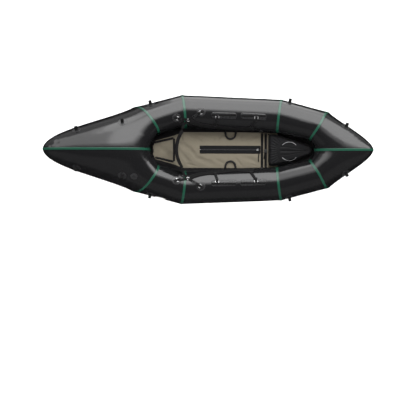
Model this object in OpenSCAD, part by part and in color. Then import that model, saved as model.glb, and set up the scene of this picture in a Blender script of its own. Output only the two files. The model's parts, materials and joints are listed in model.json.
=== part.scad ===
// Inflatable kayak: a ring of air-filled fabric tube panels around an open cockpit.
// +X points to the bow, +Y to port, +Z up. The bottom sheet lies on z = 0.

/* [Hull] */
// Length over the stern and bow tips
hull_len = 2750; // [2700:10:2800]
// Width over the side tubes at the aft joints
beam = 915; // [900:5:930]
// Width over the side tubes at the fore joints
beam_fore = 846; // [835:1:860]
// Diameter of the side tubes
tube_d = 280; // [276:1:284]
// Thickness of the coated fabric
skin = 1; // [0.8:0.1:1.2]
// Width of the tape over each welded seam
tape_w = 21; // [20:1:30]

/* [Floor] */
// Thickness of the inflated floor mat
mat_h = 53; // [48:1:56]
// Length of the zip in the mat's cover
zip_len = 514; // [480:1:520]
// Width of the zip's tape
zip_w = 68; // [60:1:72]

/* [Outfitting] */
// Height of the backband pad
backband_h = 145; // [130:1:150]
// Half of the backband's span across the cockpit
backband_half = 160; // [150:1:162]
// Diameter of the round patches under rings and loops
patch_d = 74; // [66:1:80]
// Width of the webbing straps
webbing_w = 22; // [18:1:24]
// Depth of the skeg's blade
skeg_depth = 46; // [40:1:46]

/* [Hidden] */
$fn = 48;

half_len = hull_len / 2;
tube_r = tube_d / 2;
sheet_h = 1.2;
seam_gap = 1.5;                  // room for a seam's tape and its glue
tube_z = sheet_h + seam_gap + tube_r;
around = 40;                     // facets round a tube
along = 12;                      // rows of facets along an end panel
tape_lift = 0.7;
tape_h = 0.6;

// A seam loop: centre x y z, outward x y, half height, lean of the top, bend.
aft_quarter = [-534, 240, 168, -82, 116, 158, 91, 14];
aft_joint = [-206, beam / 2 - tube_r, tube_z, -14, tube_r, tube_r, 14, 0];
fore_joint = [602, beam_fore / 2 - tube_r, tube_z, 17, tube_r, tube_r, -12, 0];
fore_quarter = [950, 200, 186, 72, 119, 147, -43, -17];

// Profiles on the centre plane, from the tip over the top to the cockpit wall and back below.
stern_profile = [[-half_len, 235], [-1332, 318], [-1150, 398], [-860, 432], [-650, 416], [-525, 345],
                 [-478, 235], [-500, 120], [-590, 42], [-780, 14], [-1020, 70], [-1262, 142]];
bow_profile = [[half_len, 320], [1352, 404], [1252, 426], [1120, 410], [1008, 362], [925, 290],
               [892, 200], [902, 112], [965, 60], [1060, 42], [1192, 84], [1322, 168]];

function lerp(p, q, t) = p * (1 - t) + q * t;
function unit(v) = v / norm(v);

function loop_point(s, a) =
    [s[0] + s[3] * cos(a) + s[6] * sin(a) + s[7] * cos(2 * a), s[1] + s[4] * cos(a), s[2] + s[5] * sin(a)];

function spline_point(pts, a) =
    let (n = len(pts), s = (a + 360) / 360 * n, i = floor(s), f = s - i,
         p0 = pts[(i - 1) % n], p1 = pts[i % n], p2 = pts[(i + 1) % n], p3 = pts[(i + 2) % n])
    p1 + f / 2 * (p2 - p0) + f * f * (p0 - 2.5 * p1 + 2 * p2 - p3 / 2)
    + f * f * f * (-p0 / 2 + 1.5 * p1 - 1.5 * p2 + p3 / 2);

function profile_point(pts, a) = let (p = spline_point(pts, a)) [p[0], 0, p[1]];

// A panel: start loop, end loop or centre profile, is it an end panel, its fullness, outward sign.
stern = [aft_quarter, stern_profile, true, [290, 160], -1];
aft_tube = [aft_joint, aft_quarter, false, [0, 0], -1];
mid_tube = [aft_joint, fore_joint, false, [0, 0], 1];
fore_tube = [fore_joint, fore_quarter, false, [0, 0], 1];
bow = [fore_quarter, bow_profile, true, [190, 60], 1];

function fullness(p, a) = p[3][0] + p[3][1] * cos(a);

function surface_point(p, a, t) =
    let (start = loop_point(p[0], a))
    p[2] ? start + (profile_point(p[1], a) - start) * (t + t * t - t * t * t)
           + [0, fullness(p, a), 0] * (t * t - t * t * t)
         : lerp(start, loop_point(p[1], a), t);

function surface_normal(p, a, t) =
    let (e = 0.002, low = max(t - e, 0), high = min(t + e, 1),
         n = p[4] * cross(surface_point(p, a + 1, t) - surface_point(p, a - 1, t),
                          surface_point(p, a, high) - surface_point(p, a, low)))
    p[2] && t == 1 ? unit([n[0], 0, n[2]]) : unit(n);

// A point a height above the surface. On a loop seam the offset is the same for both panels.
function lifted(p, a, t, h) =
    t == 0 || (!p[2] && t == 1)
        ? let (s = t == 0 ? p[0] : p[1], q = loop_point(s, a)) q + h * unit(q - [s[0], s[1], s[2]])
        : surface_point(p, a, t) + h * surface_normal(p, a, t);

function rows(p) = p[2] ? [for (i = [0:along]) 1 - pow(1 - i / along, 1.2)] : [0, 0.5, 1];
loop_angles = [for (j = [0:around - 1]) 360 * j / around];

// A thin closed solid between two grids of points, wrapped round in the second direction or open.
module thin_solid(outer, inner, wrap = true) {
    m = len(outer);
    n = len(outer[0]);
    last = wrap ? n - 1 : n - 2;
    function o(i, j) = i * n + j % n;
    function q(i, j) = m * n + i * n + j % n;
    function quad(a, b, c, d) = [[a, b, c], [a, c, d]];
    corner = outer[0][0];
    inside_out = cross(outer[0][1] - corner, outer[1][0] - corner) * (corner - inner[0][0]) > 0;
    skins = [for (i = [0:m - 2], j = [0:last]) each concat(
        quad(o(i, j), o(i, j + 1), o(i + 1, j + 1), o(i + 1, j)),
        quad(q(i + 1, j), q(i + 1, j + 1), q(i, j + 1), q(i, j)))];
    ends = [for (j = [0:last]) each concat(
        quad(q(0, j), q(0, j + 1), o(0, j + 1), o(0, j)),
        quad(o(m - 1, j), o(m - 1, j + 1), q(m - 1, j + 1), q(m - 1, j)))];
    sides = wrap ? [] : [for (i = [0:m - 2]) each concat(
        quad(o(i, 0), o(i + 1, 0), q(i + 1, 0), q(i, 0)),
        quad(q(i, n - 1), q(i + 1, n - 1), o(i + 1, n - 1), o(i, n - 1)))];
    faces = concat(skins, ends, sides);
    polyhedron(points = [each [for (r = outer) each r], each [for (r = inner) each r]],
               faces = inside_out ? [for (f = faces) [f[2], f[1], f[0]]] : faces);
}

module starboard() mirror([0, 1, 0]) children();

module both_sides() {
    children();
    starboard() children();
}

module panel(p) {
    function grid(h) = [for (t = rows(p)) [for (a = loop_angles) lifted(p, a, t, h)]];
    color("#1b1c1e") thin_solid(grid(0), grid(-skin));
}

// Half a tape's width in from a seam, on the straight line to the panel's next row of points.
function beside_seam(p, seam, a, h) =
    let (r = rows(p), q = lifted(p, a, seam, h), inward = lifted(p, a, r[seam == 0 ? 1 : len(r) - 2], h))
    q + tape_w / 2 * unit(inward - q);

// Tape round the tube over the seam between panels p and q.
module loop_tape(p, seam_p, q, seam_q) {
    function grid(h) = [
        [for (a = loop_angles) beside_seam(p, seam_p, a, h)],
        [for (a = loop_angles) lifted(p, a, seam_p, h)],
        [for (a = loop_angles) beside_seam(q, seam_q, a, h)]];
    thin_solid(grid(tape_lift + tape_h), grid(tape_lift));
}

// Tape along the centre seam of an end, where port and starboard panels meet.
module centre_tape(p) {
    function grid(h) = [
        [for (a = loop_angles) beside_seam(p, 1, a, h)],
        [for (a = loop_angles) lifted(p, a, 1, h)],
        [for (a = loop_angles) let (v = beside_seam(p, 1, a, h)) [v[0], -v[1], v[2]]]];
    color("seagreen") thin_solid(grid(tape_lift + tape_h), grid(tape_lift));
}

module port_tapes() color("seagreen") {
    loop_tape(stern, 0, aft_tube, 1);
    loop_tape(aft_tube, 0, mid_tube, 0);
    loop_tape(mid_tube, 1, fore_tube, 0);
    loop_tape(fore_tube, 1, bow, 0);
}

// The bottom sheet is welded along the lowest line of the tubes, and follows their rocker.
module bottom_sheet() {
    steps = [for (i = [-8:8]) i / 8];
    function below(v, h) = [v[0], v[1], v[2] - seam_gap - sheet_h + h];
    function end_row(p, h) = [for (k = steps)
        let (v = below(surface_point(p, 270, 1 - abs(k)), h)) [v[0], k < 0 ? -v[1] : v[1], v[2]]];
    function joint_row(s, h) = [for (k = steps)
        let (v = below(loop_point(s, 270), h)) [v[0], v[1] * k, v[2]]];
    function grid(h) = [end_row(stern, h), joint_row(aft_joint, h), joint_row(fore_joint, h),
                        end_row(bow, h)];
    color("#202123") thin_solid(grid(sheet_h), grid(0), wrap = false);
}

// The place of a fitting: panel, angle round the tube, share of the way along it, turn on the surface.
function frame_of(spot) =
    let (n = surface_normal(spot[0], spot[1], spot[2]), u = unit([1, 0, 0] - n[0] * n), v = cross(n, u),
         c = cos(spot[3]), s = sin(spot[3]))
    [c * u + s * v, c * v - s * u, n, surface_point(spot[0], spot[1], spot[2])];

function from_spot(spot, x, y, z) =
    let (f = frame_of(spot)) f[3] + x * f[0] + y * f[1] + z * f[2];

module on_spot(spot, h = 0) {
    f = frame_of(spot);
    o = f[3] + h * f[2];
    multmatrix([for (i = [0:2]) [f[0][i], f[1][i], f[2][i], o[i]]]) children();
}

// An oval patch that follows the surface.
module patch(spot, rx, ry, h) {
    p = spot[0];
    da = surface_point(p, spot[1] + 0.5, spot[2]) - surface_point(p, spot[1] - 0.5, spot[2]);
    dt = (surface_point(p, spot[1], spot[2] + 0.01) - surface_point(p, spot[1], spot[2] - 0.01)) / 0.02;
    u = unit(dt);
    v = unit(da - (da * u) * u);
    function at(k, b, lift) =
        let (x = rx * k * cos(b), y = ry * k * sin(b), turn = y / (da * v))
        lifted(p, spot[1] + turn, spot[2] + (x - turn * (da * u)) / norm(dt), lift);
    function grid(lift) = [for (k = [0.001, 0.5, 1]) [for (b = [0:20:340]) at(k, b, lift)]];
    thin_solid(grid(tape_lift + h), grid(tape_lift));
}

// A four-cornered plate that follows a tube, from angle a0 to a1 and from t0 to t1.
plate_lift = 0.3;
module plate(p, a0, a1, t0, t1, h) {
    function grid(l) = [for (t = [t0, t1]) [for (i = [0:4]) lifted(p, lerp(a0, a1, i / 4), t, l)]];
    thin_solid(grid(plate_lift + h), grid(plate_lift), wrap = false);
}

// Flat webbing along a list of points, its thickness h going along the normal at each point.
module band(points, normals, w, h) {
    n = len(points);
    side = [for (i = [0:n - 1])
        unit(cross(normals[i], points[min(i + 1, n - 1)] - points[max(i - 1, 0)])) * w / 2];
    function grid(l) = [for (i = [0:n - 1])
        [points[i] + side[i] + l * normals[i], points[i] - side[i] + l * normals[i]]];
    thin_solid(grid(h), grid(0), wrap = false);
}

// Stops on a panel, as angle, share of the way and height, made into points and normals.
function stops_on(p, stops) = [for (s = stops) lifted(p, s[0], s[1], s[2])];
function normals_on(p, stops) = [for (s = stops) surface_normal(p, s[0], s[1])];

module surface_band(p, stops, w, h) band(stops_on(p, stops), normals_on(p, stops), w, h);

// ---- rings, their keepers and the straps round them ----

ring_wire = 4;
ring_w = 28;                     // between the middles of its sides
ring_l = 16;
ring_lift = 7.3;                 // height of the wire's middle above the fabric
eye_r = 4;                       // inside radius of a strap's sewn eye
strap_h = 1.2;

hip_spot = [mid_tube, 90.6, 0.175, 120];
back_spot = [aft_tube, 105.5, 0.286, -109];
mid_spot = [mid_tube, 101.3, 0.347, 180];
fore_spot = [mid_tube, 97.9, 0.764, 180];
ring_spots = [hip_spot, back_spot, mid_spot, fore_spot];

module ring_at(spot) color("silver") on_spot(spot, ring_lift) {
    for (y = [0, ring_l])
        translate([0, y, 0]) rotate([0, 90, 0]) cylinder(h = ring_w, r = ring_wire / 2, center = true);
    for (x = [-ring_w / 2, ring_w / 2]) {
        translate([x, 0, 0]) rotate([-90, 0, 0]) cylinder(h = ring_l, r = ring_wire / 2);
        for (y = [0, ring_l]) translate([x, y, 0]) sphere(ring_wire / 2);
    }
}

module ring_keepers() color("#2a2a2c") both_sides() for (spot = ring_spots) on_spot(spot, ring_lift) {
    keeper_w = 20;
    sleeve_r = ring_wire / 2 + 0.08;
    foot = ring_lift - tape_lift - patch_h - 0.2;
    difference() {
        union() {
            rotate([0, 90, 0]) cylinder(h = keeper_w, r = sleeve_r + 1.3, center = true);
            translate([-keeper_w / 2, -24, -foot]) cube([keeper_w, 27, 2]);
            translate([-keeper_w / 2, -3, -foot]) cube([keeper_w, 6, foot]);
        }
        rotate([0, 90, 0]) cylinder(h = keeper_w + 1, r = sleeve_r, center = true);
    }
}

// An eye sewn round a ring's far side, then webbing over the fabric through the stops of each panel.
module strap_from_ring(spot, runs, w = webbing_w) {
    turns = [for (b = [-40:31:270]) b];
    f = frame_of(spot);
    eye = [for (b = turns) from_spot(spot, 0, ring_l + eye_r * cos(b), ring_lift + eye_r * sin(b))];
    eye_out = [for (b = turns) cos(b) * f[1] + sin(b) * f[2]];
    band(concat(eye, [for (r = runs) each stops_on(r[0], r[1])]),
         concat(eye_out, [for (r = runs) each -normals_on(r[0], r[1])]), w, strap_h);
}

junction_spot = [mid_tube, 121, 0.03, 0];

module port_backband_straps() {
    strap_from_ring(hip_spot, [[mid_tube, [[100, 0.135, 4.4], [108, 0.095, 4.2], [114, 0.064, 4.2]]]]);
    strap_from_ring(back_spot, [[aft_tube, [[110, 0.18, 4.4], [114, 0.1, 4.2]]]]);
    band([[-196, 226, 258], [-202, 206, 261], [-208, 188, 262], [-212, 172, 262]],
         [for (i = [0:3]) unit([0.3, -0.4, 0.85])], webbing_w, strap_h);
}

module backband_straps() color("#242426") both_sides() port_backband_straps();

module strap_junction_rings() color("silver") both_sides() on_spot(junction_spot, 4)
    rotate_extrude() translate([11, 0]) circle(2);

lock_spots = [[mid_tube, 107, 0.1, 34], [mid_tube, 151, 0.793, -40]];

// Plastic frames that the webbing is threaded through.
module ladder_locks() color("#151516") both_sides() for (spot = lock_spots) on_spot(spot, 6) difference() {
    translate([-11, -15, 0]) cube([22, 30, 3.2]);
    for (x = [-7, 2]) translate([x, -11.5, -1]) cube([5, 23, 6]);
}

// The padded part lies on the tube's shoulder between its two straps, and swings from their rings.
module port_thigh_strap() {
    strap_from_ring(mid_spot, [[mid_tube, [[112.5, 0.345, 4.6], [122, 0.338, 6.5], [133, 0.328, 9.4],
                                           [143, 0.32, 9.4]]]]);
    strap_from_ring(fore_spot, [[mid_tube, [[109, 0.756, 4.6], [119, 0.742, 6.5], [131, 0.722, 9.4],
                                            [142, 0.712, 9.4]]]]);
    surface_band(mid_tube, [[143, 0.28, 2.8], [145, 0.34, 2.8], [150, 0.43, 2.8], [153, 0.52, 2.8],
                            [151, 0.61, 2.8], [146, 0.69, 2.8], [144, 0.745, 2.8]], 44, 4.8);
}

module port_side_straps() {
    surface_band(mid_tube, [[124, 0.05, 3], [133, 0.11, 3], [140, 0.18, 3], [143, 0.266, 3]], 38, 4.5);
    surface_band(mid_tube, [[144, 0.76, 3], [150, 0.79, 3], [160, 0.815, 3], [171, 0.83, 3]], webbing_w, 2);
}

// ---- patches, tie-down loops, badge ----

patch_h = 1;
tie_down_spots = [[stern, 33.4, 0.566, 0], [stern, 59.3, 0.263, 0], [aft_tube, 18, 0.736, 0],
                  [fore_tube, 19, 0.186, 0], [bow, 26, 0.356, 0]];

module round_patches() color("#232325") both_sides()
    for (spot = concat(tie_down_spots, [hip_spot, back_spot]))
        patch(spot, patch_d / 2, patch_d / 2, patch_h);

module daisy_patches() color("#232325") both_sides() {
    plate(mid_tube, 88, 114, 0.286, 0.546, patch_h);
    plate(mid_tube, 86, 112, 0.601, 0.866, patch_h);
}

module webbing_loop() {
    top = 27;
    bend_r = 8;
    thick = 1.6;
    rotate([90, 0, 90]) linear_extrude(webbing_w, center = true) {
        difference() {
            union() {
                translate([0, top]) circle(bend_r);
                translate([-bend_r, 0]) square([2 * bend_r, top]);
            }
            translate([0, top]) circle(bend_r - thick);
            translate([thick - bend_r, thick]) square([2 * (bend_r - thick), top - thick]);
        }
        translate([-18, 0]) square([36, thick]);
    }
}

module tie_down_loops() color("#1d1d1f") both_sides()
    for (spot = tie_down_spots) on_spot(spot, tape_lift + patch_h + 0.2) webbing_loop();

badge_spot = [aft_tube, 9.4, 0.48, 0];
badge_l = 92;
badge_w = 42;
badge_h = 0.8;
module hull_badge() color("whitesmoke") starboard() patch(badge_spot, badge_l / 2, badge_w / 2, badge_h);

// ---- floor mat and zip ----

mat_low = 9;
mat_top = mat_low + mat_h;
mat_outline = [[-466, 96], [-290, 178], [-200, 186], [590, 152]];
module mirrored_polygon(side)
    polygon(concat(side, [for (i = [len(side) - 1:-1:0]) [side[i][0], -side[i][1]]]));

module floor_mat() color("#a79f8b") translate([0, 0, mat_low])
    linear_extrude(mat_top - mat_low) mirrored_polygon(mat_outline);

trim_gap = 0.2;                  // glue under what is sewn on the mat
edge_band_h = 2.5;
edge_band = [[-462, 74], [-268, 154], [500, 150], [586, 148], [-200, 184], [-290, 176], [-464, 94]];
module mat_edge_bands() color("#1f1f20") both_sides()
    translate([0, 0, mat_top + trim_gap]) linear_extrude(edge_band_h) polygon(edge_band);

hand_loop = [192, 152, mat_top + 10];
hand_loop_r = 42;
hand_rope_r = 5;
leg_l = 16;
module mat_hand_loops() color("#1f1f20") both_sides() translate(hand_loop) {
    rotate([0, 0, 180]) translate([0, leg_l, 0]) rotate_extrude(angle = 180)
        translate([hand_loop_r, 0]) circle(hand_rope_r);
    for (x = [-hand_loop_r, hand_loop_r]) translate([x, 0, 0]) {
        rotate([90, 0, 0]) cylinder(h = leg_l, r = hand_rope_r);
        translate([-6, -6, -6.5]) cube([12, 14, 8]);
    }
}

lace_line = [[-440, 64], [-286, 95]];
lace_r = 1.6;
lace_steps = 16;                 // a run of lace and an eyelet take turns
module mat_lacing() color("#111112") both_sides() for (i = [0:2:lace_steps - 1]) {
    p = lerp(lace_line[0], lace_line[1], i / lace_steps);
    q = lerp(lace_line[0], lace_line[1], (i + 1) / lace_steps);
    translate([p[0], p[1], mat_top + 2]) rotate([0, 0, atan2(q[1] - p[1], q[0] - p[0])])
        rotate([0, 90, 0]) cylinder(h = norm(q - p), r = lace_r);
}

module mat_eyelets() color("#6f6a60") both_sides() for (i = [1:2:lace_steps - 1]) {
    p = lerp(lace_line[0], lace_line[1], (i + 0.5) / lace_steps);
    translate([p[0], p[1], mat_top + trim_gap]) difference() {
        cylinder(h = 1.2, r = 4.5);
        translate([0, 0, -1]) cylinder(h = 4, r = 2.2);
    }
}

zip_front = 446;
coil_w = 6;
coil_h = 2.4;
coil_base = mat_top + 1.5;
slider_x = 421;

zip_y = 4;
module zip_tape() color("#151516") translate([zip_front - zip_len, zip_y - zip_w / 2, mat_top + trim_gap])
    cube([zip_len, zip_w, 1.2]);

module zip_coil() color("#303033") translate([zip_front - zip_len + 4, zip_y - coil_w / 2, coil_base])
    cube([zip_len - 8, coil_w, coil_h]);

module zip_end_stop() color("silver") for (x = [zip_front - 7, zip_front - zip_len + 5])
    translate([x, zip_y - 4, coil_base + coil_h + 0.1]) cube([3, 8, 2]);

// The slider rides over the coil. A bar across its top holds the pull.
module zip_slider() color("silver") translate([slider_x, zip_y, coil_base]) difference() {
    union() {
        translate([-8, -7, 0.3]) cube([16, 14, 5.2]);
        for (y = [-4.5, 2.5]) translate([-3, y, 5]) cube([6, 2, 6]);
        translate([0, 0, 8.5]) rotate([90, 0, 0]) cylinder(h = 6, r = 1, center = true);
    }
    translate([-9, -coil_w / 2 - 0.4, -1]) cube([18, coil_w + 0.8, coil_h + 1.4]);
}

module zip_pull() color("silver") translate([slider_x, zip_y, coil_base + 8.5]) difference() {
    union() {
        rotate([90, 0, 0]) cylinder(h = 3.6, r = 2.2, center = true);
        translate([0, -1.8, -0.6]) cube([8, 3.6, 2]);
        translate([7, -4, -0.6]) cube([17, 8, 2]);
    }
    rotate([90, 0, 0]) cylinder(h = 5, r = 1.08, center = true);
    translate([20, 0, -2]) cylinder(h = 5, r = 2);
}

// ---- backband, cushion and cross straps ----

backband_z = 262;
module backband_pad() color("#1e1e20") {
    sag = 55;
    bend = (backband_half * backband_half + sag * sag) / (2 * sag);
    sweep = asin(backband_half / bend);
    thick = 20;
    translate([bend - 270, 0, backband_z]) rotate([0, 0, 180 - sweep]) rotate_extrude(angle = 2 * sweep)
        translate([bend - thick / 2, 0]) {
            square([thick, backband_h - thick], center = true);
            for (z = [-1, 1]) translate([0, z * (backband_h - thick) / 2]) circle(thick / 2);
        }
}

cushion_low = mat_top + 3;
cushion_top = 150;
// The cushion's corners, from aft to the bow: x, half width between their middles, radius.
cushion_spots = [[536, 106, 24], [620, 88, 30], [740, 50, 34], [836, 8, 36]];
skirt_h = 50;
soft_edge = 16;
module foot_cushion() color("#28282a") hull() for (spot = cushion_spots, side = [-1, 1])
    translate([spot[0], side * spot[1], cushion_low]) {
        cylinder(h = skirt_h, r = spot[2], $fn = 32);
        cylinder(h = cushion_top - cushion_low, r = spot[2] - soft_edge, $fn = 32);
    }

welt_r = 78;
module cushion_welt() color("#8c8c90") translate([684, -10, cushion_top + 2.2])
    for (turn = [42, 222]) rotate(turn) rotate_extrude(angle = 96) translate([welt_r, 0]) circle(2);

module cushion_centre_panel() color("#2f2f32") translate([0, -6, cushion_top + 0.1]) linear_extrude(1.8)
    mirrored_polygon([[612, 32], [660, 34], [830, 5]]);

cross_x = [458, 488];
module cross_straps() color("#1c1c1e") for (x = cross_x) translate([x - 10, -146, mat_top + 3.2])
    cube([20, 292, 1.6]);

buckle = [488, -10, mat_top + 5.2];
pin_gap = 0.08;
// A cam buckle: two cheeks on a base hold the lever's pin.
module cam_buckle_frame() color("#18181a") translate(buckle) {
    translate([-13, -18, 0]) cube([26, 36, 2]);
    for (x = [-13, 10]) translate([x, -6, 0]) cube([3, 12, 10]);
    translate([0, 0, 6]) rotate([0, 90, 0]) cylinder(h = 22, r = 1.5, center = true);
}

module cam_buckle_lever() color("#222225") translate(buckle) translate([0, 0, 6]) difference() {
    union() {
        rotate([0, 90, 0]) cylinder(h = 19, r = 3.4, center = true);
        translate([-9.5, 0, 0.4]) cube([19, 20, 3]);
    }
    rotate([0, 90, 0]) cylinder(h = 20, r = 1.5 + pin_gap, center = true);
}

// ---- valve ----

valve_spot = [stern, 70.6, 0.19, 0];
valve_lift = 1;
neck_r = 17;
neck_h = 9;
module on_valve() starboard() on_spot(valve_spot, valve_lift) children();

module valve_body() color("#2b2b2d") on_valve() difference() {
    union() {
        cylinder(h = 1.6, r = 30);
        cylinder(h = neck_h, r = neck_r);
    }
    translate([0, 0, -1]) cylinder(h = 6.5, r = 14);
    translate([0, 0, -1]) cylinder(h = neck_h + 2, r = 12);
}

module valve_flap() color("#3a3a3d") on_valve() translate([0, 0, 3.7]) {
    cylinder(h = 1.4, r = 13.4);
    cylinder(h = 4.5, r = 2);
}

module valve_cap() color("#1c1c1e") on_valve() difference() {
    translate([0, 0, 4]) cylinder(h = neck_h - 2, r = neck_r + 2);
    translate([0, 0, 3]) cylinder(h = neck_h - 2.7, r = neck_r + 0.08);
}

module valve_tether() color("#1c1c1e") on_valve() {
    translate([0, 0, 2.8]) rotate_extrude() translate([neck_r + 1.2, 0]) circle(0.9);
    translate([neck_r + 1, -3, 2]) cube([9, 6, 1.6]);
}

// ---- skeg ----

skeg_a = 293;
skeg_l = 150;
skeg_thick = 5;
keel = profile_point(stern_profile, skeg_a);
keel_run = profile_point(stern_profile, skeg_a - 3) - profile_point(stern_profile, skeg_a + 3);
keel_drop = 4;                   // base plate below the keel line, clear of its tape and curve

module on_keel() translate(keel) rotate([0, -atan2(keel_run[2], keel_run[0]), 0])
    translate([0, 0, -keel_drop]) children();

rail_w = 22;
// A plate with a T-shaped channel along it.
module skeg_base() color("#2a2b2d") on_keel() difference() {
    translate([-skeg_l / 2 - 6, -rail_w / 2 - 6, -8]) cube([skeg_l + 12, rail_w + 12, 8]);
    translate([-skeg_l / 2 - 10, -rail_w / 2 - 0.3, -6]) cube([skeg_l + 4, rail_w + 0.6, 3.6]);
    translate([-skeg_l / 2 - 10, -skeg_thick / 2 - 0.6, -9]) cube([skeg_l + 4, skeg_thick + 1.2, 6]);
}

// A raked blade under a flat foot that slides in the channel.
module skeg() color("#1a1b1c") on_keel() {
    translate([-skeg_l / 2, -rail_w / 2, -5.7]) cube([skeg_l - 12, rail_w, 3]);
    rotate([90, 0, 0]) linear_extrude(skeg_thick, center = true)
        polygon([[-skeg_l / 2, -5], [-skeg_l / 2, -4], [skeg_l / 2 - 12, -4], [skeg_l / 2 - 12, -5],
                 [skeg_l / 2 - 20, -12], [14, 2 - skeg_depth], [-10, -skeg_depth],
                 [10 - skeg_l / 2, 4 - skeg_depth], [-skeg_l / 2 - 14, 16 - skeg_depth],
                 [-skeg_l / 2 - 14, -26], [-skeg_l / 2 - 4, -9]]);
}

panel(stern);  // stern_panel_port
starboard() panel(stern);  // stern_panel_starboard
panel(aft_tube);  // aft_tube_port
starboard() panel(aft_tube);  // aft_tube_starboard
panel(mid_tube);  // mid_tube_port
starboard() panel(mid_tube);  // mid_tube_starboard
panel(fore_tube);  // fore_tube_port
starboard() panel(fore_tube);  // fore_tube_starboard
panel(bow);  // bow_panel_port
starboard() panel(bow);  // bow_panel_starboard
port_tapes();  // seam_tapes_port
starboard() port_tapes();  // seam_tapes_starboard
centre_tape(stern);  // stern_centre_tape
centre_tape(bow);  // bow_centre_tape
bottom_sheet();
floor_mat();
mat_edge_bands();
mat_hand_loops();
mat_lacing();
mat_eyelets();
zip_tape();
zip_coil();
zip_end_stop();
zip_slider();
zip_pull();
backband_pad();
backband_straps();
color("#1d1d1f") port_side_straps();  // side_straps_port
color("#1d1d1f") starboard() port_side_straps();  // side_straps_starboard
color("#1d1d1f") port_thigh_strap();  // thigh_strap_port
color("#1d1d1f") starboard() port_thigh_strap();  // thigh_strap_starboard
strap_junction_rings();
ladder_locks();
round_patches();
ring_keepers();
daisy_patches();
tie_down_loops();
ring_at(hip_spot);  // ring_hip_port
starboard() ring_at(hip_spot);  // ring_hip_starboard
ring_at(back_spot);  // ring_back_port
starboard() ring_at(back_spot);  // ring_back_starboard
ring_at(mid_spot);  // ring_mid_port
starboard() ring_at(mid_spot);  // ring_mid_starboard
ring_at(fore_spot);  // ring_fore_port
starboard() ring_at(fore_spot);  // ring_fore_starboard
foot_cushion();
cushion_welt();
cushion_centre_panel();
cross_straps();
cam_buckle_frame();
cam_buckle_lever();
valve_body();
valve_flap();
valve_cap();
valve_tether();
skeg_base();
skeg();
hull_badge();
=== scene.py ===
import json
import math
import bmesh
import bpy
from mathutils import Matrix, Vector, noise
from mathutils.bvhtree import BVHTree
from mathutils.kdtree import KDTree
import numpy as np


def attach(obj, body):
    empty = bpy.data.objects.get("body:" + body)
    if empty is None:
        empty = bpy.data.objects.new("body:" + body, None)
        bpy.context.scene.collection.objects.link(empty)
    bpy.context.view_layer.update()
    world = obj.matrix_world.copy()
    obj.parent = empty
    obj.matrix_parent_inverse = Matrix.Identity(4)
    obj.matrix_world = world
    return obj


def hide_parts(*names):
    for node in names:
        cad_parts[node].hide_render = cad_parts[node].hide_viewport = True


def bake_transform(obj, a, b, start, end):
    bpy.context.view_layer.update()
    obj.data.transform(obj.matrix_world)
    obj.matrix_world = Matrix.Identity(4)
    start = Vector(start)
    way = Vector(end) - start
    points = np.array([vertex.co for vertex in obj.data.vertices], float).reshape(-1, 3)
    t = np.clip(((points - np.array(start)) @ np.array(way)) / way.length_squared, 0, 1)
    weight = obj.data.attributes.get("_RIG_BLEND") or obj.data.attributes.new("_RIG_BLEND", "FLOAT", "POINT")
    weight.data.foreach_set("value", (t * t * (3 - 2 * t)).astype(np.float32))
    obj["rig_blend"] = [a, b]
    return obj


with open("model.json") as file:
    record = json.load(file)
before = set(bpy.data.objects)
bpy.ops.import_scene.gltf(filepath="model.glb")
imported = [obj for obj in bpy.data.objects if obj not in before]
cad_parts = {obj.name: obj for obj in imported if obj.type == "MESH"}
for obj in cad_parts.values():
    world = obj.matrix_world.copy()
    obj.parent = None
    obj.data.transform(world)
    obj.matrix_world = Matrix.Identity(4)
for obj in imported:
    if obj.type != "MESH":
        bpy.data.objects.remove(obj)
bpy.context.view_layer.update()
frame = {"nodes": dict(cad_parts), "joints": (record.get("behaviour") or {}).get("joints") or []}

# Inflatable kayak, seen from straight above with the bow to the right.
# x runs to the bow, y to port, z up. Places in the lists below are in millimetres.
nodes = frame["nodes"]
joints = {joint["name"]: joint for joint in frame["joints"]}
mm = 0.001
sides = {"port": 1, "starboard": -1}
up = Vector((0, 0, 1))


# ---- camera, floor and light ----

# height is above the deck, and across is how much of the deck the view takes in, all in metres
view = {"height": 18.0, "deck": 0.28, "across": 3.462, "aimX": 0.005, "aimY": -0.488, "roll": 0.25,
        "sensor": 36.0, "clip": 60}


def makeCamera():
    data = bpy.data.cameras.new("camera")
    data.sensor_width = view["sensor"]
    data.lens = view["sensor"] * view["height"] / view["across"]
    data.clip_end = view["clip"]
    camera = bpy.data.objects.new("camera", data)
    camera.location = (view["aimX"], view["aimY"], view["height"] + view["deck"])
    camera.rotation_euler = (0, 0, math.radians(view["roll"]))
    bpy.context.scene.collection.objects.link(camera)
    bpy.context.scene.camera = camera


# each card: where its upper and lower edges are seen from the deck (degrees from straight up),
# its brightness, and where it starts and ends along the hull (metres)
stage = {"size": 30, "floorGrey": 0.86, "floorRoughness": 0.9, "ambient": 1.2, "cardReach": 8.0,
         "portCards": [(12, 19, 1.2, -17, 17), (19, 26, 1.6, -17, -0.9), (19, 26, 3.0, -0.9, 17),
                       (26, 64, 2.7, -17, -1.3), (26, 64, 5.0, -1.3, 17), (64, 92, 2.0, -8, -2.6),
                       (64, 90, 4.1, -2.6, 3.8), (90, 124, 3.0, -1.8, 2.6), (64, 126, 0.5, -17, 17)],
         "starboardCards": [(-40, -92, 0.16, -17, 17)],
         "keyPlace": (0.9, 2.6, 4.5), "keySize": 2.2, "keyPower": 345,
         "washPlace": (0, 0, 5.0), "washSize": 7.0, "washPower": 900}


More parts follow.
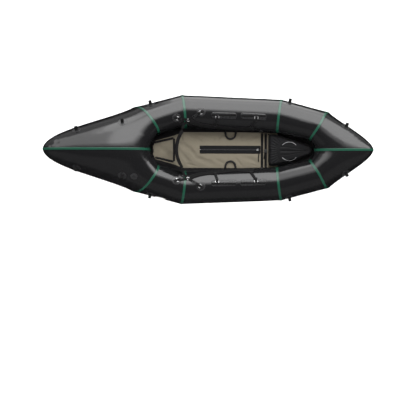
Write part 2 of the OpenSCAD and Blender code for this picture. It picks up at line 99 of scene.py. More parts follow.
def areaLight(name, place, aim, size, power, glossy=False, diffuse=True):
    data = bpy.data.lights.new(name, "AREA")
    data.shape = "RECTANGLE"
    data.size, data.size_y = size
    data.energy = power
    lamp = bpy.data.objects.new(name, data)
    lamp.location = place
    lamp.rotation_euler = (Vector(aim) - Vector(place)).to_track_quat("-Z", "Y").to_euler()
    lamp.visible_camera = False
    lamp.visible_glossy = glossy
    lamp.visible_diffuse = diffuse
    bpy.context.scene.collection.objects.link(lamp)
    return lamp


def reflectorCard(name, first, last, brightness, aft, fore):
    # seen only in reflections
    reach = stage["cardReach"]
    upper, lower = [Vector((0, math.sin(angle), math.cos(angle))) * reach
                    for angle in (math.radians(first), math.radians(last))]
    size = (fore - aft, (upper - lower).length)
    shift = Vector(((fore + aft) / 2, 0, 0))
    power = brightness * math.pi * size[0] * size[1]
    areaLight(name, (upper + lower) / 2 + shift, shift, size, power, glossy=True, diffuse=False)


def lightOnly(lamp, piece, state):
    # the lamp reaches only this piece, or every piece but this one
    group = bpy.data.collections.new(lamp.name)
    group.objects.link(piece)
    group.collection_objects[0].light_linking.link_state = state
    lamp.light_linking.receiver_collection = group


def makeFloor():
    bm = bmesh.new()
    bmesh.ops.create_grid(bm, x_segments=4, y_segments=4, size=stage["size"] / 2)
    mesh = bpy.data.meshes.new("floor")
    bm.to_mesh(mesh)
    bm.free()
    floor = bpy.data.objects.new("floor", mesh)
    bpy.context.scene.collection.objects.link(floor)
    mesh.materials.append(newMaterial("pale_floor", [stage["floorGrey"]] * 3, stage["floorRoughness"]))
    floor.visible_glossy = False
    floor.visible_shadow = False
    return floor


def makeStage():
    floor = makeFloor()
    for i, card in enumerate(stage["portCards"]):
        reflectorCard(f"port_card_{i}", *card)
    for i, card in enumerate(stage["starboardCards"]):
        reflectorCard(f"starboard_card_{i}", *card)
    middle = (0, 0, 0)
    key = areaLight("overhead", stage["keyPlace"], middle, [stage["keySize"]] * 2, stage["keyPower"])
    lightOnly(key, floor, "EXCLUDE")
    wash = areaLight("floor_wash", stage["washPlace"], middle, [stage["washSize"]] * 2, stage["washPower"])
    lightOnly(wash, floor, "INCLUDE")
    world = bpy.data.worlds.new("studio")
    bpy.context.scene.world = world
    world.use_nodes = True
    sky = world.node_tree.nodes["Background"]
    sky.inputs["Color"].default_value = (1, 1, 1, 1)
    sky.inputs["Strength"].default_value = stage["ambient"]
    world.cycles_visibility.glossy = False
    bpy.context.scene.view_settings.view_transform = "Standard"


def newMaterial(name, color, roughness, **sockets):
    material = bpy.data.materials.new(name)
    material.use_nodes = True
    shader = shaderOf(material)
    shader.inputs["Base Color"].default_value = (*color, 1)
    shader.inputs["Roughness"].default_value = roughness
    for socket, value in sockets.items():
        shader.inputs[socket.replace("_", " ")].default_value = value
    return material


def shaderOf(material):
    return material.node_tree.nodes["Principled BSDF"]


makeCamera()
makeStage()
print("camera, floor and lights are set")


# ---- materials ----

def addNode(material, kind, **values):
    node = material.node_tree.nodes.new(kind)
    for key, value in values.items():
        setattr(node, key, value)
    return node


def link(material, a, b):
    material.node_tree.links.new(a, b)


def placeOf(material):
    return addNode(material, "ShaderNodeTexCoord").outputs["Object"]


def strapPlaceOf(material):
    # x along the strap, y across it, from the values that its mesh carries
    combine = addNode(material, "ShaderNodeCombineXYZ")
    for name, socket in (("along", "X"), ("across", "Y")):
        attribute = addNode(material, "ShaderNodeAttribute", attribute_name=name)
        link(material, attribute.outputs["Fac"], combine.inputs[socket])
    return combine.outputs["Vector"]


def noiseOf(material, vector, scale, detail):
    texture = addNode(material, "ShaderNodeTexNoise")
    texture.inputs["Scale"].default_value = scale
    texture.inputs["Detail"].default_value = detail
    link(material, vector, texture.inputs["Vector"])
    return texture.outputs["Fac"]


def threadsOf(material, vector, axis, pitch, wobble=0.4):
    # at scale 1 this texture has a band every pi / 10
    wave = addNode(material, "ShaderNodeTexWave", wave_type="BANDS", bands_direction=axis)
    wave.inputs["Scale"].default_value = math.pi / 10 / pitch
    wave.inputs["Distortion"].default_value = wobble
    link(material, vector, wave.inputs["Vector"])
    return wave.outputs["Fac"]


def product(material, a, b):
    node = addNode(material, "ShaderNodeMath", operation="MULTIPLY")
    link(material, a, node.inputs[0])
    link(material, b, node.inputs[1])
    return node.outputs[0]


def rangeOf(material, value, low, high, first=0.0, last=1.0):
    # what runs from first to last then runs from low to high
    limits = addNode(material, "ShaderNodeMapRange")
    for socket, number in (("From Min", first), ("From Max", last), ("To Min", low), ("To Max", high)):
        limits.inputs[socket].default_value = number
    link(material, value, limits.inputs["Value"])
    return limits.outputs["Result"]


def weaveOf(material, vector, pitch):
    # lying cloth shows its threads along x and y, and upright cloth along x and z
    warp = threadsOf(material, vector, "X", pitch)
    lying = product(material, warp, threadsOf(material, vector, "Y", pitch))
    upright = product(material, warp, threadsOf(material, vector, "Z", pitch))
    split = addNode(material, "ShaderNodeSeparateXYZ")
    link(material, addNode(material, "ShaderNodeNewGeometry").outputs["Normal"], split.inputs["Vector"])
    steepness = addNode(material, "ShaderNodeMath", operation="ABSOLUTE")
    link(material, split.outputs["Z"], steepness.inputs[0])
    flatness = rangeOf(material, steepness.outputs[0], 0, 1, first=0.5, last=0.7)
    mix = addNode(material, "ShaderNodeMix", data_type="FLOAT")
    for socket, value in ((0, flatness), (2, upright), (3, lying)):
        link(material, value, mix.inputs[socket])
    return mix.outputs[0]


def paintBetween(material, value, dark, light):
    mix = addNode(material, "ShaderNodeMix", data_type="RGBA")
    mix.inputs[6].default_value = (*dark, 1)
    mix.inputs[7].default_value = (*light, 1)
    link(material, value, mix.inputs["Factor"])
    link(material, mix.outputs[2], shaderOf(material).inputs["Base Color"])


def roughenBetween(material, value, smoothest, roughest):
    link(material, rangeOf(material, value, smoothest, roughest), shaderOf(material).inputs["Roughness"])


def bumpWith(material, *layers):
    # each layer: height, strength, distance in metres
    normal = None
    for height, strength, distance in layers:
        bump = addNode(material, "ShaderNodeBump")
        bump.inputs["Strength"].default_value = strength
        bump.inputs["Distance"].default_value = distance
        link(material, height, bump.inputs["Height"])
        if normal:
            link(material, normal, bump.inputs["Normal"])
        normal = bump.outputs["Normal"]
    link(material, normal, shaderOf(material).inputs["Normal"])


film = {"waves": 7.0, "waveDepth": 3 * mm, "sag": 0.10, "scuffs": 90.0, "pitch": 1.1 * mm, "depth": 0.1 * mm}
cloth = {"patches": 24.0, "patchBump": 0.2, "patchDepth": 0.6 * mm, "depth": 0.2 * mm, "sheen": 0.02}
strapCloth = {"wear": 130.0, "wobble": 0.8, "yarn": 1.3, "bump": 0.6, "depth": 0.3 * mm, "gloss": 0.05}
cast = {"wear": 45.0, "pitBump": 0.15, "depth": 0.15 * mm}


def coatedFabric(name, dark, light, roughness, weave=0.3):
    # heat-sealed nylon under a smooth plastic film: faint cloth grain and slow waves
    material = newMaterial(name, dark, roughness)
    place = placeOf(material)
    waves = noiseOf(material, place, film["waves"], 2.0)
    scuffs = noiseOf(material, place, film["scuffs"], 4.0)
    paintBetween(material, scuffs, dark, light)
    roughenBetween(material, scuffs, roughness - 0.03, roughness + 0.05)
    bumpWith(material, (waves, film["sag"], film["waveDepth"]),
             (weaveOf(material, place, film["pitch"]), weave, film["depth"]))
    return material


def wovenFabric(name, dark, light, roughness, pitch, bump=0.5, gloss=0.05):
    material = newMaterial(name, dark, roughness, Sheen_Weight=cloth["sheen"], Sheen_Roughness=0.5,
                           Specular_IOR_Level=gloss)
    place = placeOf(material)
    patchy = noiseOf(material, place, cloth["patches"], 5.0)
    weave = weaveOf(material, place, pitch)
    paintBetween(material, product(material, patchy, weave), dark, light)
    roughenBetween(material, patchy, roughness - 0.08, roughness + 0.08)
    bumpWith(material, (patchy, cloth["patchBump"], cloth["patchDepth"]), (weave, bump, cloth["depth"]))
    return material


def strapWeave(name, dark, light, roughness, pitch):
    material = newMaterial(name, dark, roughness, Sheen_Weight=cloth["sheen"], Sheen_Roughness=0.4,
                           Specular_IOR_Level=strapCloth["gloss"])
    place = strapPlaceOf(material)
    ribs = threadsOf(material, place, "X", pitch, strapCloth["wobble"])
    yarns = threadsOf(material, place, "Y", pitch * strapCloth["yarn"], strapCloth["wobble"])
    worn = noiseOf(material, placeOf(material), strapCloth["wear"], 4.0)
    weave = product(material, ribs, yarns)
    paintBetween(material, product(material, weave, worn), dark, light)
    roughenBetween(material, worn, roughness - 0.1, roughness + 0.1)
    bumpWith(material, (weave, strapCloth["bump"], strapCloth["depth"]))
    return material


def moulded(name, dark, light, roughness, grain, **sockets):
    material = newMaterial(name, dark, roughness, **sockets)
    place = placeOf(material)
    wear = noiseOf(material, place, cast["wear"], 4.0)
    paintBetween(material, wear, dark, light)
    roughenBetween(material, wear, roughness - 0.08, roughness + 0.12)
    bumpWith(material, (noiseOf(material, place, grain, 5.0), cast["pitBump"], cast["depth"]))
    return material


def tinted(grey, blue=0.001):
    # a grey with a little more blue in it
    return grey, grey, grey + blue


hullFabric = coatedFabric("hull_fabric", tinted(0.0055, 0.0005), tinted(0.0085, 0.0005), 0.15, weave=0.05)
patchFabric = coatedFabric("patch_fabric", tinted(0.011, 0.0005), tinted(0.018), 0.27)
sheetFabric = coatedFabric("bottom_sheet_fabric", tinted(0.010), tinted(0.018), 0.42)
tapeFabric = coatedFabric("green_tape", (0.006, 0.042, 0.025), (0.009, 0.055, 0.033), 0.24, weave=0.15)
tanCloth = wovenFabric("tan_cloth", (0.130, 0.115, 0.087), (0.192, 0.173, 0.136), 0.82, 1.3 * mm)
blackCloth = wovenFabric("black_cloth", tinted(0.006, 0.0005), tinted(0.015), 0.7, 1.1 * mm)
cushionCloth = wovenFabric("cushion_cloth", tinted(0.005, 0.0005), tinted(0.011), 0.5, 1.2 * mm, gloss=0.1)
padCloth = wovenFabric("pad_mesh_cloth", tinted(0.006, 0), tinted(0.015), 0.8, 2.2 * mm, bump=0.9)
webbing = strapWeave("webbing", tinted(0.005, 0), tinted(0.013), 0.6, 1.5 * mm)
bindingTape = strapWeave("binding_tape", (0.006, 0.0055, 0.006), (0.016, 0.015, 0.016), 0.6, 0.9 * mm)
thread = moulded("sewing_thread", tinted(0.014), tinted(0.030, 0.002), 0.6, 900.0, Specular_IOR_Level=0.15)
laceCord = moulded("lace_cord", tinted(0.006), tinted(0.018), 0.7, 700.0, Specular_IOR_Level=0.12)
greyWelt = moulded("grey_welt", tinted(0.20, 0.005), tinted(0.32, 0.005), 0.35, 500.0)
blackNickel = moulded("black_nickel", tinted(0.05, 0.002), tinted(0.11, 0.002), 0.3, 700.0, Metallic=1.0)
steel = moulded("polished_steel", tinted(0.74, 0.01), tinted(0.90, 0.01), 0.26, 700.0, Metallic=0.7)
blackPlastic = moulded("black_plastic", tinted(0.010), tinted(0.020), 0.38, 300.0)
rubber = moulded("valve_rubber", tinted(0.016), tinted(0.026, 0.002), 0.5, 220.0)
badgeFilm = moulded("badge_film", tinted(0.72, -0.01), tinted(0.84, -0.01), 0.3, 160.0)
zipTeeth = moulded("zip_teeth", tinted(0.014), tinted(0.03, 0.002), 0.32, 500.0)
print("materials are mixed")


# ---- making pieces ----

weld = 0.01 * mm


def cadCopy(name):
    bm = bmesh.new()
    bm.from_mesh(nodes[name].data)
    bmesh.ops.remove_doubles(bm, verts=bm.verts, dist=weld)
    return bm


def quadded(bm, angle):
    bmesh.ops.join_triangles(bm, faces=bm.faces, angle_face_threshold=math.radians(angle),
                             angle_shape_threshold=math.radians(80))
    return bm


def islandsOf(bm):
    left = set(bm.faces)
    found = []
    while left:
        start = left.pop()
        group, waiting = [start], [start]
        while waiting:
            for edge in waiting.pop().edges:
                for other in edge.link_faces:
                    if other in left:
                        left.remove(other)
                        group.append(other)
                        waiting.append(other)
        found.append(group)
    return found


def facesOutwards(group):
    area = sum(face.calc_area() for face in group)
    middle = sum((face.calc_center_median() * face.calc_area() for face in group), Vector()) / area
    return sum(face.normal.dot(face.calc_center_median() - middle) for face in group) > 0


def outerSkin(name, wall):
    # the outside of a thin-walled CAD solid, as one layer of quads
    bm = cadCopy(name)
    rims = [face for face in bm.faces if min(edge.calc_length() for edge in face.edges) < wall]
    bmesh.ops.delete(bm, geom=rims, context="FACES")
    inner = [face for group in islandsOf(bm) if not facesOutwards(group) for face in group]
    bmesh.ops.delete(bm, geom=inner, context="FACES")
    return quadded(bm, 40)


def makePiece(bm, name, materials, body="root", stands=(), sharp=40, closed=True):
    # stands are the CAD nodes that the piece takes the place of
    mesh = bpy.data.meshes.new(name)
    if closed:
        bmesh.ops.recalc_face_normals(bm, faces=bm.faces)
    bm.to_mesh(mesh)
    bm.free()
    piece = bpy.data.objects.new(name, mesh)
    bpy.context.scene.collection.objects.link(piece)
    for material in materials if isinstance(materials, list) else [materials]:
        mesh.materials.append(material)
    shadeSmooth(mesh)
    if sharp:
        mesh.set_sharp_from_angle(angle=math.radians(sharp))
    if body:
        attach(piece, body)
    if stands:
        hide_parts(*stands)
    return piece


def shadeSmooth(mesh):
    mesh.polygons.foreach_set("use_smooth", [True] * len(mesh.polygons))


def addModifier(piece, kind, **values):
    modifier = piece.modifiers.new(kind.lower(), kind)
    for key, value in values.items():
        setattr(modifier, key, value)
    return modifier


def subdivided(piece, levels):
    return addModifier(piece, "SUBSURF", levels=levels, render_levels=levels)


def applied(piece):
    graph = bpy.context.evaluated_depsgraph_get()
    mesh = bpy.data.meshes.new_from_object(piece.evaluated_get(graph))
    piece.modifiers.clear()
    piece.data = mesh
    return piece


def reshaped(piece, move):
    # move each point of a finished mesh: move(place, normal) gives the new place
    mesh = piece.data
    normals = [Vector(normal.vector) for normal in mesh.vertex_normals]
    for vert, normal in zip(mesh.vertices, normals):
        vert.co = move(vert.co.copy(), normal)
    mesh.update()
    return piece


def smoothStep(low, high, value):
    t = min(1.0, max(0.0, (value - low) / (high - low)))
    return t * t * (3 - 2 * t)


def bell(distance, width):
    return math.exp(-(distance / width) ** 2)


def smoothLine(points, step=4.0):
    # a rounded line through the points, in metres, with a stop about every step millimetres
    line = []
    points = [Vector(point) * mm for point in points]
    points = [points[0] * 2 - points[1], *points, points[-1] * 2 - points[-2]]
    for a, b, c, d in zip(points, points[1:], points[2:], points[3:]):
        parts = max(1, round((c - b).length / (step * mm)))
        for i in range(parts):
            t = i / parts
            line.append(((2 * b) + (c - a) * t + (2 * a - 5 * b + 4 * c - d) * t * t
                         + (3 * b - 3 * c + d - a) * t ** 3) / 2)
    line.append(points[-2])
    return line


def onSide(points, sign):
    # points to port, or their mirror image to starboard
    return [(x, y * sign, z) for x, y, z in points]


def roundTheEnd(points):
    # a line that comes in to port, and goes back the same way to starboard
    return points + onSide(reversed(points[:-1]), -1)


def tangentsOf(line):
    last = len(line) - 1
    return [(line[min(i + 1, last)] - line[max(i - 1, 0)]).normalized() for i in range(last + 1)]


def edgeLines(line, ups, aside):
    # two lines, one along each side of a strap
    sideways = [lift.cross(tangent).normalized() for lift, tangent in zip(ups, tangentsOf(line))]
    return [[point + side * edge * aside for point, side in zip(line, sideways)] for edge in (-1, 1)]


def strapMesh():
    bm = bmesh.new()
    bm.verts.layers.float.new("along")
    bm.verts.layers.float.new("across")
    return bm


def grownEdge(bm, edges):
    made = bmesh.ops.extrude_edge_only(bm, edges=edges)["geom"]
    fresh = [item for item in made if isinstance(item, bmesh.types.BMVert)]
    edges = [item for item in made if isinstance(item, bmesh.types.BMEdge)]
    return fresh, edges


def addRibbon(bm, line, ups, width, cuts=4, crown=0.0):
    # a flat strip along the line; width is one number or one for each stop, crown lifts its middle
    along, across = bm.verts.layers.float["along"], bm.verts.layers.float["across"]
    widths = width if isinstance(width, list) else [width] * len(line)
    shares = [k / cuts * 2 - 1 for k in range(cuts + 1)]
    row = [bm.verts.new((k * mm, 0, 0)) for k in range(cuts + 1)]
    edges = [bm.edges.new(pair) for pair in zip(row, row[1:])]
    travel = 0.0
    before = None
    for point, tangent, lift, wide in zip(line, tangentsOf(line), ups, widths):
        if before is not None:
            travel += (point - before).length
            fresh, edges = grownEdge(bm, edges)
            row = sorted(fresh, key=lambda vert: (vert.co - before).dot(side))
        side = lift.cross(tangent).normalized()
        for vert, share in zip(row, shares):
            vert.co = point + side * share * wide / 2 + lift * crown * (1 - share * share)
            vert[along], vert[across] = travel, share * wide / 2
        before = point


sewing = {"length": 2.6 * mm, "thick": 0.55 * mm, "pitch": 4.5 * mm, "lift": 0.8 * mm,
          "tackRows": 5, "tackPitch": 0.7 * mm, "tackThick": 0.6 * mm, "tackWidth": 17 * mm}


def stitch(bm, place, tangent, lift, length=sewing["length"], thick=sewing["thick"]):
    side = lift.cross(tangent).normalized()
    turn = Matrix((tangent, side, tangent.cross(side))).transposed().to_4x4()
    size = Matrix.Diagonal((length, thick, thick, 1))
    made = bmesh.ops.create_cube(bm, size=1, matrix=Matrix.Translation(place) @ turn @ size)
    for vert in made["verts"]:
        for face in vert.link_faces:
            face.material_index = 1


def stitchRow(bm, line, ups, shift=0.0, lift=0.0, pitch=sewing["pitch"]):
    # stitches along a line, shifted sideways and lifted to the face of the cloth
    tangents = tangentsOf(line)
    since = pitch / 2
    for i in range(1, len(line)):
        gap = (line[i] - line[i - 1]).length
        while since < gap:
            place = line[i - 1].lerp(line[i], since / gap)
            side = ups[i].cross(tangents[i]).normalized()
            stitch(bm, place + side * shift + ups[i] * lift, tangents[i], ups[i])
            since += pitch
        since -= gap


def stitchEdges(bm, line, ups, half):
    for edge in (-1, 1):
        stitchRow(bm, line, ups, edge * half, sewing["lift"])


def barTack(bm, place, tangent, lift, width=sewing["tackWidth"]):
    # a dense block of thread across a strap
    side = lift.cross(tangent).normalized()
    for k in range(sewing["tackRows"]):
        shift = tangent * (k - sewing["tackRows"] // 2) * sewing["tackPitch"]
        stitch(bm, place + shift, side, lift, width, sewing["tackThick"])


def openForSewing(piece):
    bm = bmesh.new()
    bm.from_mesh(piece.data)
    return bm


def closeSewn(piece, bm):
    bm.to_mesh(piece.data)
    bm.free()
    piece.data.materials.append(thread)


def finishStrap(bm, name, material, thick, body="root", stands=(), levels=1):
    piece = makePiece(bm, name, material, body, stands, sharp=0, closed=False)
    addModifier(piece, "SOLIDIFY", thickness=thick, offset=0)
    subdivided(piece, levels)
    return applied(piece)


def roundTube(name, lines, radius, material, body="root", stands=(), ring=False, roundness=3):
    data = bpy.data.curves.new(name, "CURVE")
    data.dimensions = "3D"
    data.bevel_depth = radius
    data.bevel_resolution = roundness
    data.use_fill_caps = True
    for line in lines:
        spline = data.splines.new("POLY")
        spline.points.add(len(line) - 1)
        for point, place in zip(spline.points, line):
            point.co = (*place, 1)
        spline.use_cyclic_u = ring
    rope = bpy.data.objects.new(name, data)
    bpy.context.scene.collection.objects.link(rope)
    mesh = bpy.data.meshes.new_from_object(rope.evaluated_get(bpy.context.evaluated_depsgraph_get()))
    bpy.data.objects.remove(rope)
    bm = bmesh.new()
    bm.from_mesh(mesh)
    bmesh.ops.remove_doubles(bm, verts=bm.verts, dist=weld)
    return makePiece(bm, name, material, body, stands)


# ---- hull ----

hull = {"panels": ["stern_panel", "aft_tube", "mid_tube", "fore_tube", "bow_panel"],
        "wall": 1.4 * mm, "skin": 0.8 * mm, "endLevels": 3, "tubeLevels": 2, "tubeCuts": 7,
        "longEdge": 80 * mm, "pucker": 1.4 * mm, "puckerReach": 45 * mm,
        "swell": 1.1 * mm, "swellReach": 100 * mm,
        "tipFold": 2.2 * mm, "tipStart": -1.37, "tipReach": 0.16, "tipSeam": 20 * mm}


def seamTree(bm):
    seam = [vert for vert in bm.verts if vert.is_boundary]
    tree = KDTree(len(seam))
    for i, vert in enumerate(seam):
        tree.insert(vert.co, i)
    tree.balance()
    return tree


def puckerAt(near, far):
    # short folds run off the welded seam, whose nearest point is near, at the distance far
    reach = far / hull["puckerReach"]
    return hull["pucker"] * noise.noise(near * 38) * reach * math.exp(1 - 2.2 * reach) if reach < 3 else 0.0


def tipFoldAt(place, far):
    # folds across the last stretch of the stern
    share = (hull["tipStart"] + hull["tipReach"] - place.x) / hull["tipReach"]
    if not 0 < share < 1:
        return 0.0
    fold = noise.noise(Vector((place.x * 55, place.y * 9, 0))) * min(1.0, far / hull["tipSeam"])
    return hull["tipFold"] * fold * math.sin(math.pi * share)


def pucker(piece):
    bm = bmesh.new()
    bm.from_mesh(piece.data)
    tree = seamTree(bm)
    for vert in bm.verts:
        near, index, far = tree.find(vert.co)
        swell = hull["swell"] * noise.noise(vert.co * 5.5) * min(1.0, far / hull["swellReach"])
        vert.co += vert.normal * (puckerAt(near, far) + swell + tipFoldAt(vert.co, far))
    bm.to_mesh(piece.data)
    bm.free()


def makeHull():
    whole = bmesh.new()
    made = []
    for side in sides:
        for panel in hull["panels"]:
            node = f"{panel}_{side}"
            bm = outerSkin(node, hull["wall"])
            isTube = panel.endswith("tube")
            if isTube:
                lengthwise = [edge for edge in bm.edges if edge.calc_length() > hull["longEdge"]]
                bmesh.ops.subdivide_edges(bm, edges=lengthwise, cuts=hull["tubeCuts"], use_grid_fill=True)
            piece = makePiece(bm, f"{panel}_skin_{side}", hullFabric, stands=[node],
                              sharp=0, closed=False)
            subdivided(piece, hull["tubeLevels"] if isTube else hull["endLevels"])
            applied(piece)
            pucker(piece)
            whole.from_mesh(piece.data)
            made.append(piece)
    tree = BVHTree.FromBMesh(whole)
    whole.free()
    for piece in made:
        addModifier(piece, "SOLIDIFY", thickness=hull["skin"], offset=-1)
    return tree


hullTree = makeHull()
print("hull panels are inflated")


def onHull(point, lift=0.0):
    near, normal, index, far = hullTree.find_nearest(point)
    return near + normal * lift


def hullNormal(point):
    # averaged over a small neighbourhood, so that what lies on a seam doesn't jump
    total = Vector()
    for shift in ((0, 0, 0), (8, 0, 0), (-8, 0, 0), (0, 8, 0), (0, -8, 0)):
        total += hullTree.find_nearest(point + Vector(shift) * mm)[1]
    return total.normalized()


def frameAt(place, normal, spin=0):
    # axes for a small part on the hull: x towards the bow, z out of the fabric
    x = (Vector((1, 0, 0)) - normal * normal.x).normalized()
    turn = Matrix((x, normal.cross(x), normal)).transposed().to_4x4()
    return Matrix.Translation(place) @ turn @ Matrix.Rotation(math.radians(spin), 4, "Z")


tapes = {"levels": 2, "thick": 0.9 * mm, "wall": 0.75 * mm, "ripple": 0.35 * mm,
         "pieces": {"loop_tapes_port": "seam_tapes_port", "loop_tapes_starboard": "seam_tapes_starboard",
                    "stern_tape": "stern_centre_tape", "bow_tape": "bow_centre_tape"}}


def rippled(place, normal):
    return place + normal * noise.noise(place * 45) * tapes["ripple"]


def makeTapes():
    for name, node in tapes["pieces"].items():
        bm = outerSkin(node, tapes["wall"])
        piece = makePiece(bm, name, tapeFabric, stands=[node], sharp=0, closed=False)
        subdivided(piece, tapes["levels"])
        applied(piece)
        reshaped(piece, rippled)
        addModifier(piece, "SOLIDIFY", thickness=tapes["thick"], offset=0.2)


sheet = {"half": 0.5, "longEdge": 0.2, "cuts": 9, "sag": 2.5 * mm}


def slackened(place, normal):
    # the cloth lifts a little in the middle of the boat, and is tight towards its ends
    fromEnd = max(0.0, sheet["half"] - abs(place.x))
    return place + up * max(0, noise.noise(place * 9)) * sheet["sag"] * smoothStep(0.03, 0.12, fromEnd)


def makeBottomSheet():
    bm = quadded(cadCopy("bottom_sheet"), 20)
    lengthwise = [edge for edge in bm.edges if edge.calc_length() > sheet["longEdge"]]
    bmesh.ops.subdivide_edges(bm, edges=lengthwise, cuts=sheet["cuts"], use_grid_fill=True)
    piece = makePiece(bm, "bottom_sheet_cloth", sheetFabric, stands=["bottom_sheet"],
                      sharp=50)
    reshaped(piece, slackened)


makeTapes()
makeBottomSheet()
print("seam tapes and bottom sheet are welded on")


# ---- rings, keepers and straps ----

ringSize = {"width": 28 * mm, "length": 16 * mm, "wire": 2.0 * mm, "corner": 4.5 * mm, "roundness": 4}
strap = {"width": 22 * mm, "thick": 1.2 * mm, "eye": 4.9 * mm, "eyeTurn": range(70, 290, 22),
         "inset": 2.2 * mm, "landing": 4.4 * mm}
keeper = {"turn": range(190, -170, -24), "radius": 3.0 * mm, "upper": 3.7 * mm, "lower": 2.4 * mm,
          "tacks": (10, 22), "seams": (-7, 7)}
ringNames = ["hip", "back", "mid", "fore"]
rightAngles = (0, 90, 180, 270)


def ringPlace(name):
    # where a ring's bar is, along the bar, towards its far side, and out of the fabric
    joint = joints[f"ring_{name}_hinge"]
    bar, lengthwise = Vector(joint["pos_m"]), Vector(joint["axis"]).normalized()
    mesh = nodes[f"ring_{name}"].data
    middle = sum((vert.co for vert in mesh.vertices), Vector()) / len(mesh.vertices)
    reach = middle - bar
    reach = (reach - lengthwise * reach.dot(lengthwise)).normalized()
    out = lengthwise.cross(reach)
    return bar, lengthwise, reach, out if out.z > 0 else -out


def roundWire(centre, reach, out, radius, angles):
    # webbing bent round a wire: its points and its ups
    ways = [reach * math.cos(angle) + out * math.sin(angle) for angle in map(math.radians, angles)]
    return [centre + way * radius for way in ways], ways


def ringLine(bar, lengthwise, reach):
    # a rectangle with round corners, whose first side is the bar
    half, far, corner = ringSize["width"] / 2, ringSize["length"], ringSize["corner"]
    line = []
    for (x, y), start in zip(((half, far), (-half, far), (-half, 0), (half, 0)), rightAngles):
        inner = bar + lengthwise * (x - math.copysign(corner, x)) + reach * (y - corner if y else corner)
        line += roundWire(inner, lengthwise, reach, corner, range(start, start + 91, 15))[0]
    return line


def makeRings():
    for side in sides:
        for name in ringNames:
            body = f"ring_{name}_{side}"
            bar, lengthwise, reach, out = ringPlace(f"{name}_{side}")
            line = ringLine(bar, lengthwise, reach)
            roundTube(f"strap_{body}", [line], ringSize["wire"], steel, body, [body], ring=True,
                      roundness=ringSize["roundness"])


def makeKeepers():
    bm = strapMesh()
    places = [ringPlace(f"{name}_{side}") for side in sides for name in ringNames]
    for bar, lengthwise, reach, out in places:
        line = [onHull(bar - reach * back * mm, keeper["upper"]) for back in (24, 19, 14, 9)]
        bend, ways = roundWire(bar, reach, out, keeper["radius"], keeper["turn"])
        under = [onHull(bar - reach * back * mm, keeper["lower"]) for back in (8, 14, 19, 24)]
        addRibbon(bm, line + bend + under, [out] * len(line) + ways + [-out] * len(under), strap["width"])
    piece = finishStrap(bm, "ring_keeper_webbing", webbing, strap["thick"], stands=["ring_keepers"])
    bm = openForSewing(piece)
    for bar, lengthwise, reach, out in places:
        for back in keeper["tacks"]:
            barTack(bm, onHull(bar - reach * back * mm, 4.5 * mm), reach, out)
        for seam in keeper["seams"]:
            start = bar + lengthwise * seam * mm
            row = [onHull(start - reach * back * mm, 4.4 * mm) for back in (10, 16, 22)]
            stitchRow(bm, row, [out] * len(row), pitch=4 * mm)
    closeSewn(piece, bm)


def strapFromRing(bm, name, route, landing=strap["landing"], free=False):
    # a sewn eye round the ring's far side, and the strap that runs on from it, on the hull or free
    bar, lengthwise, reach, out = ringPlace(name)
    far = bar + reach * ringSize["length"]
    line = [onHull(far + reach * 27 * mm, landing + 1.6 * mm),
            onHull(far + reach * 16 * mm, landing + 1.8 * mm),
            far + reach * 7 * mm + out * 2.0 * mm]
    ups = [out] * len(line)
    bend, ways = roundWire(far, reach, out, strap["eye"], strap["eyeTurn"])
    line += bend
    ups += ways
    eyeStops = len(line)
    for point in smoothLine([tuple((far + reach * 9 * mm) / mm)] + route)[1:]:
        line.append(point if free else onHull(point, landing))
        ups.append(-hullNormal(point))
    addRibbon(bm, line, ups, strap["width"])
    upper = [-lift for lift in ups[eyeStops:]]
    return {"line": line[eyeStops:], "ups": upper, "far": far, "reach": reach, "out": out}


def tackAlong(bm, run, distance, lift):
    barTack(bm, onHull(run["far"] + run["reach"] * distance * mm, lift * mm), run["reach"], run["out"])


junction = {"place": (-164, 242, 266), "lift": 5 * mm, "radius": 11 * mm, "wire": 2.0 * mm, "eye": 3.4 * mm,
            "eyeTurn": range(250, -80, -30)}
backbandRoutes = {"hip": [(-85, 288, 285), (-115, 270, 280), (-138, 257, 274), (-150, 250, 270)],
                  "back": [(-231, 256, 286), (-210, 252, 279), (-190, 247, 273), (-178, 245, 270)]}
padEnd = [(-170, 232, 264), (-180, 224, 262), (-196, 208, 261), (-205, 190, 262), (-211, 170, 262)]


def junctionPlace(sign):
    x, y, z = junction["place"]
    return onHull(Vector((x, y * sign, z)) * mm, junction["lift"])


def eyeOnJunction(bm, middle, last):
    # the strap's other end, sewn round the junction ring
    tangent = (middle - last).normalized()
    wire = middle - tangent * junction["radius"]
    out = hullNormal(wire)
    bend, ways = roundWire(wire, -tangent, -out, junction["eye"], junction["eyeTurn"])
    addRibbon(bm, [last - tangent * 16 * mm + out * 1.5 * mm] + bend, [out] + ways, strap["width"])


def makeBackbandStraps():
    for side, sign in sides.items():
        bm = strapMesh()
        runs = []
        for name, route in backbandRoutes.items():
            runs.append(strapFromRing(bm, f"{name}_{side}", onSide(route, sign)))
            eyeOnJunction(bm, junctionPlace(sign), runs[-1]["line"][-1])
        line = smoothLine(onSide(padEnd, sign))
        addRibbon(bm, line, [Vector((0.3, -0.4 * sign, 0.85)).normalized()] * len(line), strap["width"])
        piece = finishStrap(bm, f"backband_webbing_{side}", webbing, strap["thick"],
                            stands=["backband_straps"])
        bm = openForSewing(piece)
        for run in runs:
            stitchEdges(bm, run["line"], run["ups"], strap["width"] / 2 - strap["inset"])
            tackAlong(bm, run, 24, 6.8)
            tackAlong(bm, run, 12, 7.4)
        closeSewn(piece, bm)


def makeJunctionRings():
    lines = []
    for sign in sides.values():
        middle = junctionPlace(sign)
        out = hullNormal(middle)
        flat = out.orthogonal().normalized()
        lines.append([middle + Matrix.Rotation(math.radians(angle), 3, out) @ flat * junction["radius"]
                      for angle in range(0, 360, 12)])
    roundTube("junction_rings", lines, junction["wire"], steel, stands=["strap_junction_rings"],
              ring=True)


